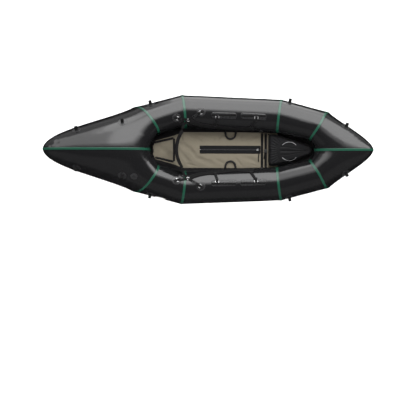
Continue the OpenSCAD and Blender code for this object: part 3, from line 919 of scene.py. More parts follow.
# ladder-lock buckles: two side rails with four bars of different heights between them
lock = {"width": 23 * mm, "length": 29 * mm, "lift": 6.2 * mm, "rail": (2.6 * mm, 3.4 * mm), "bar": 3.2 * mm,
        "bars": ((-0.5, 2.6), (-0.02, 3.0), (0.2, 2.2), (0.5, 3.6)), "bevel": 0.5 * mm,
        "places": [((-110, 273, 283), 34), ((446, 150, 202), -40)]}


def bevelAll(bm, width, segments=2, angle=30):
    edges = [edge for edge in bm.edges if edge.calc_face_angle(0) > math.radians(angle)]
    bmesh.ops.bevel(bm, geom=edges, offset=width, segments=segments, affect="EDGES", profile=0.5, material=-1)


def addBlock(bm, size, place, frameMatrix=Matrix.Identity(4)):
    matrix = frameMatrix @ Matrix.Translation(place) @ Matrix.Diagonal((*size, 1))
    return bmesh.ops.create_cube(bm, size=1, matrix=matrix)["verts"]


def makeLadderLocks():
    for side, sign in sides.items():
        bm = bmesh.new()
        for (x, y, z), spin in lock["places"]:
            spot = Vector((x, y * sign, z)) * mm
            matrix = frameAt(onHull(spot, lock["lift"]), hullNormal(spot), spin * sign)
            for edge in (-0.5, 0.5):
                addBlock(bm, (lock["length"], *lock["rail"]), (0, edge * lock["width"], 0), matrix)
            for share, tall in lock["bars"]:
                place = (share * lock["length"], 0, 0.3 * mm)
                addBlock(bm, (lock["bar"], lock["width"], tall * mm), place, matrix)
        bevelAll(bm, lock["bevel"])
        makePiece(bm, f"ladder_lock_frames_{side}", blackPlastic, stands=["ladder_locks"])


thigh = {"width": 44 * mm, "thick": 4.4 * mm, "crown": 1.6 * mm, "piping": 2.4 * mm, "channel": 0.9 * mm,
         "channelStep": 60 * mm, "landing": 5 * mm,
         "pad": [(26, 194, 229), (74, 189, 225), (143, 179, 214), (212, 172, 208), (282, 172, 212),
                 (343, 175, 223), (387, 176, 227)],
         "runs": {"mid": [(79, 250, 276), (73, 228, 267), (65, 204, 254), (60, 191, 240)],
                  "fore": [(396, 244, 279), (384, 221, 271), (368, 195, 256), (361, 179, 241)]}}


def hullRibbon(bm, points, width, step=8, cuts=6, crown=0.0):
    line = smoothLine(points, step)
    ups = [hullNormal(point) for point in line]
    addRibbon(bm, line, ups, width, cuts=cuts, crown=crown)
    return line, ups


def quilted(place, normal):
    wave = math.cos((place.x - 0.2) * 2 * math.pi / thigh["channelStep"])
    return place - normal * thigh["channel"] * max(0, wave) ** 8


def makeThighStraps():
    for side, sign in sides.items():
        body = f"thigh_strap_{side}"
        bm = strapMesh()
        runs = [strapFromRing(bm, f"{name}_{side}", onSide(route, sign), thigh["landing"], free=True)
                for name, route in thigh["runs"].items()]
        piece = finishStrap(bm, f"thigh_webbing_{side}", webbing, strap["thick"], body, stands=[body])
        bm = openForSewing(piece)
        for run in runs:
            line, ups = run["line"], run["ups"]
            stitchEdges(bm, line, ups, strap["width"] / 2 - strap["inset"])
            barTack(bm, line[-2] + ups[-2] * sewing["lift"], (line[-1] - line[-3]).normalized(), ups[-2])
            tackAlong(bm, run, 20, 7.6)
        closeSewn(piece, bm)
        bm = strapMesh()
        line, ups = hullRibbon(bm, onSide(thigh["pad"], sign), thigh["width"], crown=thigh["crown"])
        pad = finishStrap(bm, f"thigh_pad_{side}", padCloth, thigh["thick"], body, [body],
                          levels=2)
        reshaped(pad, quilted)
        edges = edgeLines(line, ups, thigh["width"] / 2 + 0.3 * mm)
        roundTube(f"thigh_pad_piping_{side}", edges, thigh["piping"], bindingTape, body)


sideStrap = {"width": 38 * mm, "thick": 4.0 * mm, "crown": 1.4 * mm, "piping": 2.2 * mm,
             "foreThick": 1.6 * mm,
             "aft": [(-152, 238, 262), (-102, 216, 248), (-48, 202, 236), (10, 194, 230), (34, 193, 229)],
             "fore": [(392, 177, 228), (420, 166, 214), (439, 155, 192), (452, 148, 165), (458, 145, 150)]}


def makeSideStraps():
    for side, sign in sides.items():
        body, node = f"thigh_strap_{side}", f"side_straps_{side}"
        bm = strapMesh()
        route = onSide(sideStrap["aft"], sign)
        line, ups = hullRibbon(bm, route, sideStrap["width"], crown=sideStrap["crown"])
        pad = finishStrap(bm, f"side_strap_aft_{side}", padCloth, sideStrap["thick"], None,
                          [node], levels=2)
        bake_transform(pad, "root", body, line[len(line) // 2], line[-2])
        edges = edgeLines(line, ups, sideStrap["width"] / 2 + 0.2 * mm)
        piping = roundTube(f"side_strap_piping_{side}", edges, sideStrap["piping"], bindingTape, None)
        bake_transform(piping, "root", body, line[len(line) // 2], line[-2])
        bm = strapMesh()
        line, ups = hullRibbon(bm, onSide(sideStrap["fore"], sign), strap["width"], step=4, cuts=4)
        tail = finishStrap(bm, f"side_strap_fore_{side}", webbing, sideStrap["foreThick"], None,
                           stands=[node])
        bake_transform(tail, body, "root", line[1], line[len(line) // 2])


makeRings()
makeKeepers()
makeBackbandStraps()
makeJunctionRings()
makeLadderLocks()
makeThighStraps()
makeSideStraps()
print("straps and rings are sewn")


# ---- patches, tie-down loops and badge ----

tieSpots = [(-1091, 158, 306), (-709, 224, 333), (-478, 377, 209), (684, 396, 197), (1149, 193, 314)]
patch = {"radius": 37 * mm, "thick": 1.0 * mm, "lift": 0.3 * mm, "seam": 0.35 * mm, "segments": 48,
         "circles": (0.2, 0.45, 0.7, 0.88, 0.94, 1.0), "seamBetween": (0.86, 0.92)}


def addDisc(bm, matrix, radiusX, radiusY, circles=patch["circles"]):
    # rings of quads from the middle outwards, laid on the hull
    made = bmesh.ops.create_circle(bm, cap_ends=True, segments=patch["segments"], radius=circles[0])["verts"]
    verts = list(made)
    edges = [edge for edge in bm.edges
             if edge.is_boundary and edge.verts[0] in made and edge.verts[1] in made]
    for inner, outer in zip(circles, circles[1:]):
        fresh, edges = grownEdge(bm, edges)
        for vert in fresh:
            vert.co *= outer / inner
        verts += fresh
    low, high = patch["seamBetween"]
    for vert in verts:
        share = math.hypot(vert.co.x, vert.co.y)
        flat = matrix @ Vector((vert.co.x * radiusX, vert.co.y * radiusY, 0))
        sunk = patch["seam"] if low < share < high else 0.0
        vert.co = onHull(flat, patch["lift"] + patch["thick"] - sunk)


def makePatches():
    bm = bmesh.new()
    for side, sign in sides.items():
        spots = [Vector(spot) * mm for spot in onSide(tieSpots, sign)]
        spots += [ringPlace(f"{name}_{side}")[0] for name in ("hip", "back")]
        for spot in spots:
            addDisc(bm, frameAt(onHull(spot), hullNormal(spot)), patch["radius"], patch["radius"])
    piece = makePiece(bm, "round_patch_discs", patchFabric, stands=["round_patches"],
                      sharp=0, closed=False)
    addModifier(piece, "SOLIDIFY", thickness=patch["thick"], offset=-1)


loop = {"width": 25 * mm, "thick": 1.7 * mm, "half": 7.0 * mm, "height": 27 * mm, "foot": 18 * mm,
        "lift": 2.0 * mm, "belly": 1.05, "tacks": (-16, -11, 11, 16)}


def loopLine(matrix):
    # along one foot, up, over a round top and down to the other foot
    half, top, belly = loop["half"], loop["height"], loop["half"] * loop["belly"]
    rise = [(loop["foot"], 0), (half + 3 * mm, 0), (half, 2 * mm), (half, top * 0.5), (belly, top)]
    arc = [(-belly * math.cos(angle), top + belly * math.sin(angle))
           for angle in map(math.radians, range(20, 180, 20))]
    profile = [(-y, z) for y, z in rise] + arc + rise[::-1]
    points = [Vector((0, y, z)) for y, z in profile]
    inward = [Vector((0, -tangent.z, tangent.y)) for tangent in tangentsOf(points)]
    turn = matrix.to_3x3()
    return [matrix @ point for point in points], [turn @ lift for lift in inward]


def makeTieLoops():
    for side, sign in sides.items():
        bm = strapMesh()
        matrices = []
        for spot in onSide(tieSpots, sign):
            spot = Vector(spot) * mm
            matrix = frameAt(onHull(spot, loop["lift"]), hullNormal(spot))
            line, ups = loopLine(matrix)
            addRibbon(bm, line, ups, loop["width"])
            matrices.append(matrix)
        piece = finishStrap(bm, f"tie_down_webbing_{side}", webbing, loop["thick"], stands=["tie_down_loops"])
        bm = openForSewing(piece)
        for matrix in matrices:
            turn = matrix.to_3x3()
            for y in loop["tacks"]:
                place = matrix @ Vector((0, y * mm, 1.0 * mm))
                barTack(bm, place, turn @ Vector((0, 1, 0)), turn @ up)
        closeSewn(piece, bm)


# daisy chains: a long patch with webbing sewn down at even steps, so that each step is a loop;
# each patch runs from first to last and leans over a little
daisy = {"patches": {"mid": (31, 240, -0.0065), "fore": (274, 488, -0.012)},
         "width": 56 * mm, "corner": 14 * mm, "shift": 3 * mm, "seam": 0.44, "columns": 24, "rows": 8,
         "webbing": 16 * mm, "webShift": 8 * mm, "step": 22 * mm, "stops": 6, "hump": 3.4 * mm,
         "flat": 1.75 * mm, "ringRoom": (10 * mm, 18 * mm)}


def addDaisyPatch(bm, start, end, lean, sign):
    made = bmesh.ops.create_grid(bm, x_segments=daisy["columns"], y_segments=daisy["rows"], size=0.5)["verts"]
    corner = daisy["corner"]
    for vert in made:
        along, across = vert.co.x + 0.5, vert.co.y
        cut = max(0, corner - min(along, 1 - along) * (end - start).length)
        squeeze = 1 - (corner - math.sqrt(max(0, corner ** 2 - cut ** 2))) / (daisy["width"] / 2)
        place = start.lerp(end, along)
        place.y += sign * (daisy["shift"] + across * squeeze * daisy["width"] + lean * (along - 0.5))
        sunk = patch["seam"] if abs(abs(across) - daisy["seam"]) < 0.03 else 0.0
        vert.co = onHull(place, patch["lift"] + patch["thick"] - sunk)


def addDaisyChain(bm, start, end, ringX, sign):
    # webbing in humps, flat where the strap's ring is; gives the places of the bar tacks
    count = int((end - start).length / daisy["step"])
    line, ups, tacks = [], [], []
    for i in range(count * daisy["stops"] + 1):
        share = min(0.985, max(0.015, i / (count * daisy["stops"])))
        place = start.lerp(end, share) + Vector((0, daisy["webShift"] * sign, 0))
        atRing = smoothStep(*daisy["ringRoom"], abs(place.x - ringX))
        hump = abs(math.sin(math.pi * i / daisy["stops"])) ** 0.6 * atRing
        normal = hullNormal(place)
        line.append(onHull(place, daisy["flat"] + daisy["hump"] * hump))
        ups.append(normal)
        if i % daisy["stops"] == 0:
            tacks.append((line[-1] + normal * sewing["lift"], normal))
    addRibbon(bm, line, ups, daisy["webbing"])
    return tacks


def makeDaisyChains():
    for side, sign in sides.items():
        base, chain, tacks = bmesh.new(), strapMesh(), []
        for name, (first, last, lean) in daisy["patches"].items():
            bar = ringPlace(f"{name}_{side}")[0]
            start, end = [Vector((x * mm, bar.y, bar.z)) for x in (first, last)]
            addDaisyPatch(base, start, end, lean, sign)
            tacks += addDaisyChain(chain, start, end, bar.x, sign)
        piece = makePiece(base, f"daisy_patch_bases_{side}", patchFabric,
                          stands=["daisy_patches"], sharp=0, closed=False)
        addModifier(piece, "SOLIDIFY", thickness=patch["thick"], offset=-1)
        piece = finishStrap(chain, f"daisy_chain_webbing_{side}", webbing, strap["thick"],
                            stands=["daisy_patches"])
        bm = openForSewing(piece)
        for place, normal in tacks:
            barTack(bm, place, Vector((1, 0, 0)), normal, daisy["webbing"] - 1 * mm)
        closeSewn(piece, bm)


badge = {"place": (-395, -407, 179), "halfLength": 46 * mm, "halfWidth": 21 * mm, "thick": 0.8 * mm,
         "circles": (0.25, 0.5, 0.75, 0.9, 1.0)}


def makeBadge():
    spot = Vector(badge["place"]) * mm
    bm = bmesh.new()
    matrix = frameAt(onHull(spot), hullNormal(spot))
    addDisc(bm, matrix, badge["halfLength"], badge["halfWidth"], badge["circles"])
    piece = makePiece(bm, "oval_badge", badgeFilm, stands=["hull_badge"], sharp=0, closed=False)
    addModifier(piece, "SOLIDIFY", thickness=badge["thick"], offset=-1)


makePatches()
makeTieLoops()
makeDaisyChains()
makeBadge()
print("patches, loops and badge are in place")


# ---- padded pieces ----

puff = {"steps": 20, "quality": 4, "mass": 0.25, "shrink": -0.035}


def puffed(name, node, material, body, look, smooth=2):
    # blow a copy of the node up as cloth, keep each point within its cap, and leave plain mesh behind
    bm = cadCopy(node)
    if "shrunk" in look:
        middle = Matrix.Translation((0, 0, -look["shrunkAbout"]))
        bmesh.ops.scale(bm, vec=look["shrunk"], space=middle, verts=bm.verts)
    piece = makePiece(bm, name, material, None, [node], sharp=0)
    addModifier(piece, "REMESH", mode="VOXEL", voxel_size=look["voxel"], use_smooth_shade=True)
    applied(piece)
    bm = bmesh.new()
    bm.from_mesh(piece.data)
    for i in range(smooth):
        bmesh.ops.smooth_vert(bm, verts=bm.verts, factor=0.5, use_axis_x=True, use_axis_y=True,
                              use_axis_z=True)
    bm.to_mesh(piece.data)
    bm.free()
    blowUp(piece, look["pressure"], look["cap"])
    shadeSmooth(piece.data)
    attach(piece, body)
    subdivided(piece, 1)
    return applied(piece)


def blowUp(piece, pressure, cap):
    rest = [vert.co.copy() for vert in piece.data.vertices]
    modifier = addModifier(piece, "CLOTH")
    modifier.settings.use_pressure = True
    modifier.settings.uniform_pressure_force = pressure
    modifier.settings.effector_weights.gravity = 0
    modifier.settings.quality = puff["quality"]
    modifier.settings.mass = puff["mass"]
    modifier.settings.shrink_min = puff["shrink"]
    for step in range(1, puff["steps"] + 1):
        bpy.context.scene.frame_set(step)
    applied(piece)
    bpy.context.scene.frame_set(1)
    for vert, start in zip(piece.data.vertices, rest):
        move = vert.co - start
        if move.length > cap:
            vert.co = start + move.normalized() * cap


def topOf(piece):
    # gives a function that lays a point on top of a finished piece
    bm = bmesh.new()
    bm.from_mesh(piece.data)
    tree = BVHTree.FromBMesh(bm)
    bm.free()
    above, down = 0.6, Vector((0, 0, -1))

    def lay(point, lift=0.0):
        hit, normal, index, far = tree.ray_cast(Vector((point[0], point[1], above)), down)
        return hit + up * lift if hit else Vector(point)
    return lay


# ---- floor mat ----

# the two outlines are half widths at places along the mat: of its tan cover, and of the whole mat
mat = {"voxel": 9 * mm, "pressure": 3.0, "cap": 5 * mm,
       "shrunk": (0.997, 0.99, 0.97), "shrunkAbout": 35.5 * mm,
       "top": 62 * mm, "sideBelow": 50 * mm, "tanAbove": 52 * mm, "front": 0.44, "zip": (-78, 456, 4, 40),
       "tanEdge": [(-462, 64), (-440, 77), (-284, 122), (-212, 150), (500, 150), (586, 148)],
       "outline": [(-464, 94), (-290, 176), (-200, 184), (586, 150)],
       "band": 1.4 * mm, "thinnestBand": 6 * mm, "bandLevel": 62.8 * mm, "rim": 4.0 * mm, "aftBand": 14 * mm}


def halfAt(outline, x):
    # half width of an outline at a place along it, in metres
    for (x0, y0), (x1, y1) in zip(outline, outline[1:]):
        if x0 * mm <= x <= x1 * mm:
            return (y0 + (y1 - y0) * (x - x0 * mm) / ((x1 - x0) * mm)) * mm
    return outline[0][1] * mm if x < outline[0][0] * mm else outline[-1][1] * mm


def slack(x, y):
    # 0 where the mat is held flat, 1 where its cloth is free
    first, last, middle, half = [value * mm for value in mat["zip"]]
    aside = max(abs(y - middle) - half, first - x, x - last)
    atZip = smoothStep(0, 45 * mm, aside)
    atEdge = smoothStep(0, 50 * mm, halfAt(mat["tanEdge"], x) - abs(y))
    atFront = smoothStep(0, 50 * mm, mat["front"] - x)
    return atZip * (0.25 + 0.75 * atEdge) * atFront


# each crease: where it starts and ends, how wide it is and how deep
creases = [((-226, 150), (-214, 84), 11, 7.0), ((-232, 60), (-60, -70), 24, 7.0),
           ((-228, -10), (-130, -128), 22, 5.4), ((-190, 152), (-40, 70), 24, 6.4),
           ((-100, 150), (40, 92), 18, 4.6), ((-110, -60), (90, -134), 26, 6.4),
           ((30, -56), (150, -120), 18, 4.6), ((60, 70), (132, 136), 14, 5.0),
           ((-170, -120), (-60, -142), 10, 5.0), ((250, 64), (304, 136), 15, 5.0),
           ((300, 70), (440, 140), 24, 6.4), ((240, -70), (290, -138), 14, 5.0),
           ((310, -52), (446, -112), 26, 7.0), ((360, -120), (446, -144), 10, 5.0),
           ((-424, 44), (-300, -66), 26, 4.6), ((-410, -56), (-306, 66), 20, 3.6),
           ((-140, 30), (-70, 74), 16, 4.2), ((370, 50), (448, 70), 12, 4.0)]
rumple = {"wander": 8 * mm, "bank": 0.45, "bankPlace": 1.9, "waves": 1.3, "gain": 1.35, "highest": -1.5}


def creaseAt(x, y):
    # how far the cover sinks: soft creases that run off the backband, the hand loops and the corners,
    # each with a low bank on either side
    place = Vector((x, y))
    sink = rumple["waves"] * noise.noise(Vector((x * 9, y * 12, 4)))
    for start, end, width, depth in creases:
        a, b = Vector(start) * mm, Vector(end) * mm
        share = min(1.0, max(0.0, (place - a).dot(b - a) / (b - a).length_squared))
        bend = noise.noise(Vector((x * 14, y * 14, width))) * rumple["wander"]
        aside = ((place - a.lerp(b, share)).length + bend) / (width * mm)
        profile = bell(aside, 1) - rumple["bank"] * bell(aside - rumple["bankPlace"], 1)
        sink += depth * math.sin(math.pi * (0.12 + 0.76 * share)) * profile
    return max(rumple["highest"], sink * rumple["gain"]) * slack(x, y)


def settled(place, normal):
    # the mat's top lies level, but for its creases, and is round only along its edge
    if place.z > mat["sideBelow"]:
        level = mat["top"] + 0.6 * mm * slack(place.x, place.y) - creaseAt(place.x, place.y) * mm
        near = smoothStep(0, 18 * mm, halfAt(mat["outline"], place.x) - abs(place.y))
        place.z += (level - place.z) * near
    return place


def makeMat():
    piece = puffed("floor_mat_cover", "floor_mat", [tanCloth, blackCloth], "root", mat)
    reshaped(piece, settled)
    aftEnd = mat["tanEdge"][0][0] * mm
    for face in piece.data.polygons:
        x, y, z = face.center
        outside = abs(y) > halfAt(mat["tanEdge"], x) + 3 * mm or x < aftEnd or z < mat["tanAbove"]
        face.material_index = 1 if outside else 0
    piece.visible_glossy = False
    return topOf(piece)


onMat = makeMat()
print("floor mat is inflated")


def makeEdgeBands():
    stops = [-462, -440, -400, -360, -320, -290, -268, -240, -200, *range(-100, 501, 100), 584]
    tanEdge, outline = mat["tanEdge"], mat["outline"]
    for side, sign in sides.items():
        bm = strapMesh()
        middles = [(halfAt(tanEdge, x * mm) + halfAt(outline, x * mm)) / 2 / mm for x in stops]
        line = smoothLine([(x, sign * middle, 64) for x, middle in zip(stops, middles)], 9)
        wide = [max(halfAt(outline, p.x) - halfAt(tanEdge, p.x), mat["thinnestBand"]) for p in line]
        line = [onMat(p, 1.2 * mm) for p in line]
        for p in line:
            p.z = max(p.z, mat["bandLevel"])
        ups = [up] * len(line)
        addRibbon(bm, line, ups, wide, crown=1.0 * mm)
        piece = finishStrap(bm, f"mat_edge_binding_{side}", bindingTape, mat["band"],
                            stands=["mat_edge_bands"])
        bm = openForSewing(piece)
        inner = [Vector((p.x, sign * (halfAt(tanEdge, p.x) + 2.5 * mm), p.z)) for p in line]
        stitchRow(bm, inner, ups, lift=1.0 * mm, pitch=5 * mm)
        closeSewn(piece, bm)


def makeAftEnd():
    rim = roundTheEnd([(-200, 187, 52), (-292, 179, 52), (-380, 138, 52), (-462, 99, 52), (-468, 60, 52),
                       (-468, 0, 52)])
    roundTube("mat_rim_cord", [smoothLine(rim, 12)], mat["rim"], bindingTape)
    bm = strapMesh()
    route = onSide(roundTheEnd([(-446, 80, 64), (-456, 58, 64), (-461, 30, 64), (-463, 0, 64)]), -1)
    line = [onMat(p, 1.0 * mm) for p in smoothLine(route, 10)]
    ups = [up] * len(line)
    addRibbon(bm, line, ups, mat["aftBand"], crown=0.8 * mm)
    piece = finishStrap(bm, "mat_aft_binding", bindingTape, mat["band"])
    bm = openForSewing(piece)
    stitchRow(bm, line, ups, 4.5 * mm, 1.0 * mm, 5 * mm)
    closeSewn(piece, bm)


handLoop = {"middle": (192, 150), "radius": 42, "wire": 7.4 * mm, "height": 73, "rise": 2.5, "tab": 17 * mm,
            "tabLine": [(136, 63.5), (142, 66), (148, 71), (153, 74), (158, 72.5), (163, 67), (168, 65)]}


def makeHandLoops():
    x0, y0 = handLoop["middle"]
    reach, height = handLoop["radius"], handLoop["height"]
    leg = [(reach + 3, 9, 67), (reach + 1, 2, 69), (reach, -8, height)]
    turn = [(math.cos(angle), math.sin(angle)) for angle in map(math.radians, range(20, 180, 20))]
    arc = [(-reach * c, -14 - reach * s, height + handLoop["rise"] * s) for c, s in turn]
    points = [(x0 + x, y0 + y, z) for x, y, z in [(-x, y, z) for x, y, z in leg] + arc + leg[::-1]]
    lines = [smoothLine(onSide(points, sign), 5) for sign in sides.values()]
    roundTube("mat_hand_loops_tube", lines, handLoop["wire"], laceCord,
              stands=["mat_hand_loops"])
    bm = strapMesh()
    tabs = []
    for sign in sides.values():
        for x in (x0 - reach - 2, x0 + reach + 2):
            line = [Vector((x, y * sign, z)) * mm for y, z in handLoop["tabLine"]]
            line[0] = onMat(line[0], 0.8 * mm)
            addRibbon(bm, line, [up] * len(line), handLoop["tab"])
            tabs.append(line)
    piece = finishStrap(bm, "hand_loop_tabs", webbing, 1.4 * mm)
    bm = openForSewing(piece)
    for line in tabs:
        for place in (line[1] + up * 0.9 * mm, line[5] + up * 1.2 * mm):
            barTack(bm, place, Vector((0, 1, 0)), up, 14 * mm)
    closeSewn(piece, bm)


lacing = {"from": (-440, 64, 64), "to": (-286, 99, 64), "holes": 8, "cord": 1.7 * mm, "zigzag": 2.6,
          "stops": ((-0.35, 1.9), (-0.12, 1.2), (0.12, -1.4), (0.35, 1.5)), "level": 62.2,
          "eyelet": 4.2 * mm, "eyeletWire": 1.0 * mm, "band": 18 * mm, "bandHalf": 96}


def laceLine(first, last):
    # the lace zigzags from hole to hole and dips into each one
    direction = (last - first).normalized()
    aside = Vector((-direction.y, direction.x, 0))
    step = (last - first).length / lacing["holes"]
    points = []
    for i in range(lacing["holes"]):
        hole = first + direction * (i + 0.5) * step
        lean = lacing["zigzag"] if i % 2 else -lacing["zigzag"]
        points += [hole + direction * share * step + aside * lean * (1 - abs(share)) + up * lift
                   for share, lift in lacing["stops"]]
    return points


def addEyelet(bm, middle):
    outer = Matrix.Translation(middle + Vector((lacing["eyelet"], 0, 0)))
    outer = outer @ Matrix.Rotation(math.pi / 2, 4, "X")
    made = bmesh.ops.create_circle(bm, segments=10, radius=lacing["eyeletWire"], matrix=outer)["verts"]
    edges = list({edge for vert in made for edge in vert.link_edges})
    bmesh.ops.spin(bm, geom=made + edges, cent=middle, axis=up, angle=2 * math.pi, steps=18, use_merge=True)


def makeLacing():
    ropes, bands, rings = [], strapMesh(), bmesh.new()
    holes = lacing["holes"]
    for sign in sides.values():
        first, last = [Vector(point) for point in onSide([lacing["from"], lacing["to"]], sign)]
        # the band starts under the aft rim, one step before the first hole
        line = [onMat(first.lerp(last, i / holes) * mm, 0.9 * mm) for i in range(-1, holes + 1)]
        addRibbon(bands, line, [up] * len(line), lacing["band"])
        for i in range(holes):
            addEyelet(rings, onMat(first.lerp(last, (i + 0.5) / holes) * mm, 1.7 * mm))
        portLine = laceLine(Vector(lacing["from"]), Vector(lacing["to"]))
        ropes.append([onMat(Vector((p.x, p.y * sign, p.z)) * mm, max(0.2 * mm, (p.z - lacing["level"]) * mm))
                      for p in portLine])
    acrossX = lacing["to"][0] + 3
    across = [onMat(Vector((acrossX, y, 64)) * mm, 0.9 * mm)
              for y in range(-lacing["bandHalf"], lacing["bandHalf"] + 1, 12)]
    addRibbon(bands, across, [up] * len(across), lacing["band"])
    ropes = [smoothLine([tuple(p / mm) for p in rope], 3) for rope in ropes]
    roundTube("mat_lace_cord", ropes, lacing["cord"], laceCord, stands=["mat_lacing"])
    makePiece(rings, "lace_eyelet_rings", blackPlastic, stands=["mat_eyelets"])
    finishStrap(bands, "lace_bands", bindingTape, 1.2 * mm)


makeEdgeBands()
makeAftEnd()
makeHandLoops()
makeLacing()
print("mat is bound and laced")


# ---- zip ----

zipper = {"from": -68 * mm, "to": 446 * mm, "y": 4 * mm, "half": 34 * mm, "top": 62.3 * mm, "thick": 1.2 * mm,
          "gap": 3.4 * mm, "stops": 40, "seams": (6.5, 31), "pitch": 3.4 * mm, "margin": 14 * mm,
          "tooth": (0.42, 3.2 * mm, 2.3 * mm), "toothTop": 65.9 * mm, "narrow": 0.55, "stagger": 0.25}


def addTooth(bm, x, sign):
    # narrower at its top, and half a step away from the one across from it
    share, wide, tall = zipper["tooth"]
    x += sign * zipper["stagger"] * zipper["pitch"]
    place = (x, zipper["y"] + sign * 1.2 * mm, zipper["toothTop"] - 1.1 * mm)
    for vert in addBlock(bm, (zipper["pitch"] * share, wide, tall), place):
        if vert.co.z > zipper["toothTop"] - 0.8 * mm:
            vert.co.x = x + (vert.co.x - x) * zipper["narrow"]


def makeZip():
    # two flaps of cloth meet over the zip's teeth
    bm = strapMesh()
    first, last = [Vector((x, zipper["y"], zipper["top"] + 0.7 * mm)) for x in (zipper["from"], zipper["to"])]
    for sign in (1, -1):
        aside = Vector((0, sign * (zipper["half"] + zipper["gap"]) / 2, 0))
        line = [first.lerp(last, i / zipper["stops"]) + aside for i in range(zipper["stops"] + 1)]
        addRibbon(bm, line, [up] * len(line), zipper["half"] - zipper["gap"], cuts=6, crown=0.5 * mm)
    piece = finishStrap(bm, "zip_cloth", blackCloth, zipper["thick"],
                        stands=["zip_tape"])
    bm = openForSewing(piece)
    for sign in (1, -1):
        for seam in zipper["seams"]:
            y = zipper["y"] + sign * seam * mm
            row = [Vector((x * mm, y, zipper["top"] + 1.5 * mm)) for x in range(-66, 446, 8)]
            stitchRow(bm, row, [up] * len(row), pitch=4.6 * mm)
    closeSewn(piece, bm)
    bm = bmesh.new()
    length = last.x - first.x
    for i in range(int((length - zipper["margin"]) / zipper["pitch"])):
        for sign in (1, -1):
            addTooth(bm, first.x + 8 * mm + i * zipper["pitch"], sign)
    addBlock(bm, (length - 10 * mm, 9 * mm, 0.8 * mm), (first + last) / 2 + up * 0.2 * mm)
    makePiece(bm, "zip_teeth_row", zipTeeth, stands=["zip_coil"])


makeZip()
print("zip is sewn in")


# ---- backband ----

# the pad is an arc round centreX, and out is measured from the middle of its thickness
backband = {"voxel": 6 * mm, "pressure": 4.0, "cap": 3.5 * mm, "centreX": -9.864 * mm, "radius": 250.136 * mm,
            "middle": 262 * mm, "half": 72 * mm, "rim": (69 * mm, 8.2 * mm), "channels": (232, 262, 292),
            "seams": (-31, 31), "depth": 2.6 * mm, "piping": 2.2 * mm,
            "webs": (-27 * mm, 27 * mm), "webStitch": 7.5 * mm, "end": 37.6,
            "endLine": ((22, 11), (12, 12), (0, 12.5), (-12, 12), (-22, 11))}


def bandPlace(angle, rise, out):
    # a place on the backband: angle round its arc, height over its middle, and distance out
    away = bandOut(angle) * (backband["radius"] + out)
    return away + Vector((backband["centreX"], 0, backband["middle"] + rise))


def bandOut(angle):
    return Vector((-math.cos(math.radians(angle)), math.sin(math.radians(angle)), 0))


def channelled(place, normal):
    depth = sum(bell(place.z - z * mm, 3.0 * mm) for z in backband["channels"])
    angle = math.degrees(math.atan2(place.y, backband["centreX"] - place.x))
    depth += sum(bell(angle - seam, 0.7) for seam in backband["seams"])
    edge = smoothStep(0, 16 * mm, backband["half"] - abs(place.z - backband["middle"]))
    return place - normal * min(1.0, depth) * backband["depth"] * edge


def makeBackband():
    piece = puffed("backband_cushion", "backband_pad", padCloth, "backband", backband)
    reshaped(piece, channelled)
    rise, out = backband["rim"]
    sweep = range(-36, 37, 4)
    corners = [(angle, rise) for angle in sweep] + [(-angle, -rise) for angle in sweep]
    rims = [[bandPlace(angle, height, side) for angle, height in corners] for side in (-out, out)]
    roundTube("backband_piping", rims, backband["piping"], bindingTape, "backband", ring=True)
    bm = strapMesh()
    angles = range(-37, 38, 3)
    ups = [bandOut(angle) for angle in angles]
    rows = [[bandPlace(angle, rise, 11.0 * mm) for angle in angles] for rise in backband["webs"]]
    for line in rows:
        addRibbon(bm, line, ups, strap["width"])
    for angle in (backband["end"], -backband["end"]):
        ends = [bandPlace(angle, rise * mm, out * mm) for rise, out in backband["endLine"]]
        addRibbon(bm, ends, [bandOut(angle)] * len(ends), strap["width"] * 0.8)
    piece = finishStrap(bm, "backband_webbing", webbing, strap["thick"], "backband")
    bm = openForSewing(piece)
    for line in rows:
        stitchEdges(bm, line, ups, backband["webStitch"])
    closeSewn(piece, bm)


makeBackband()
print("backband is padded")


# ---- foot cushion ----

foot = {"voxel": 6 * mm, "pressure": 4.0, "cap": 6 * mm, "top": 150 * mm, "crown": 5 * mm, "middleY": -7 * mm,
        "grooveEnds": (600, 625, 820, 846), "groove": 4.5 * mm, "seam": 2.0 * mm, "taperFrom": 660 * mm,
        "taper": 29 / 170,
        "pleatMiddle": (684, -10), "pleatBand": (98, 112, 160, 176), "pleatDepth": 3.2 * mm, "pleats": 44,
        "pleatSeams": (104, 170), "dimple": 1.6 * mm, "weltRadius": 78, "weltStarts": (42, 222),
        "welt": 2.0 * mm, "sideWelt": 2.4 * mm, "bandAside": 0.56, "bandWidth": 0.74, "bandSeam": 0.42}


def between(value, ends):
    # rises over the first two ends and falls over the last two, in millimetres
    riseStart, riseEnd, fallStart, fallEnd = [end * mm for end in ends]
    return smoothStep(riseStart, riseEnd, value) * (1 - smoothStep(fallStart, fallEnd, value))


def bandHalf(x):
    # half width of the centre panel, which tapers towards the bow
    if x < foot["taperFrom"]:
        return 33 * mm
    return max(4 * mm, 34 * mm - (x - foot["taperFrom"]) * foot["taper"])


def crowned(place, normal):
    if place.z > foot["top"] - 30 * mm:
        middle = 1 - min(1, (abs(place.y) / (110 * mm)) ** 2) * 0.8
        place.z = min(place.z, foot["top"] - 1 * mm) - 3 * mm
        place.z += foot["crown"] * middle * smoothStep(0.1, 0.7, normal.z)
    return place


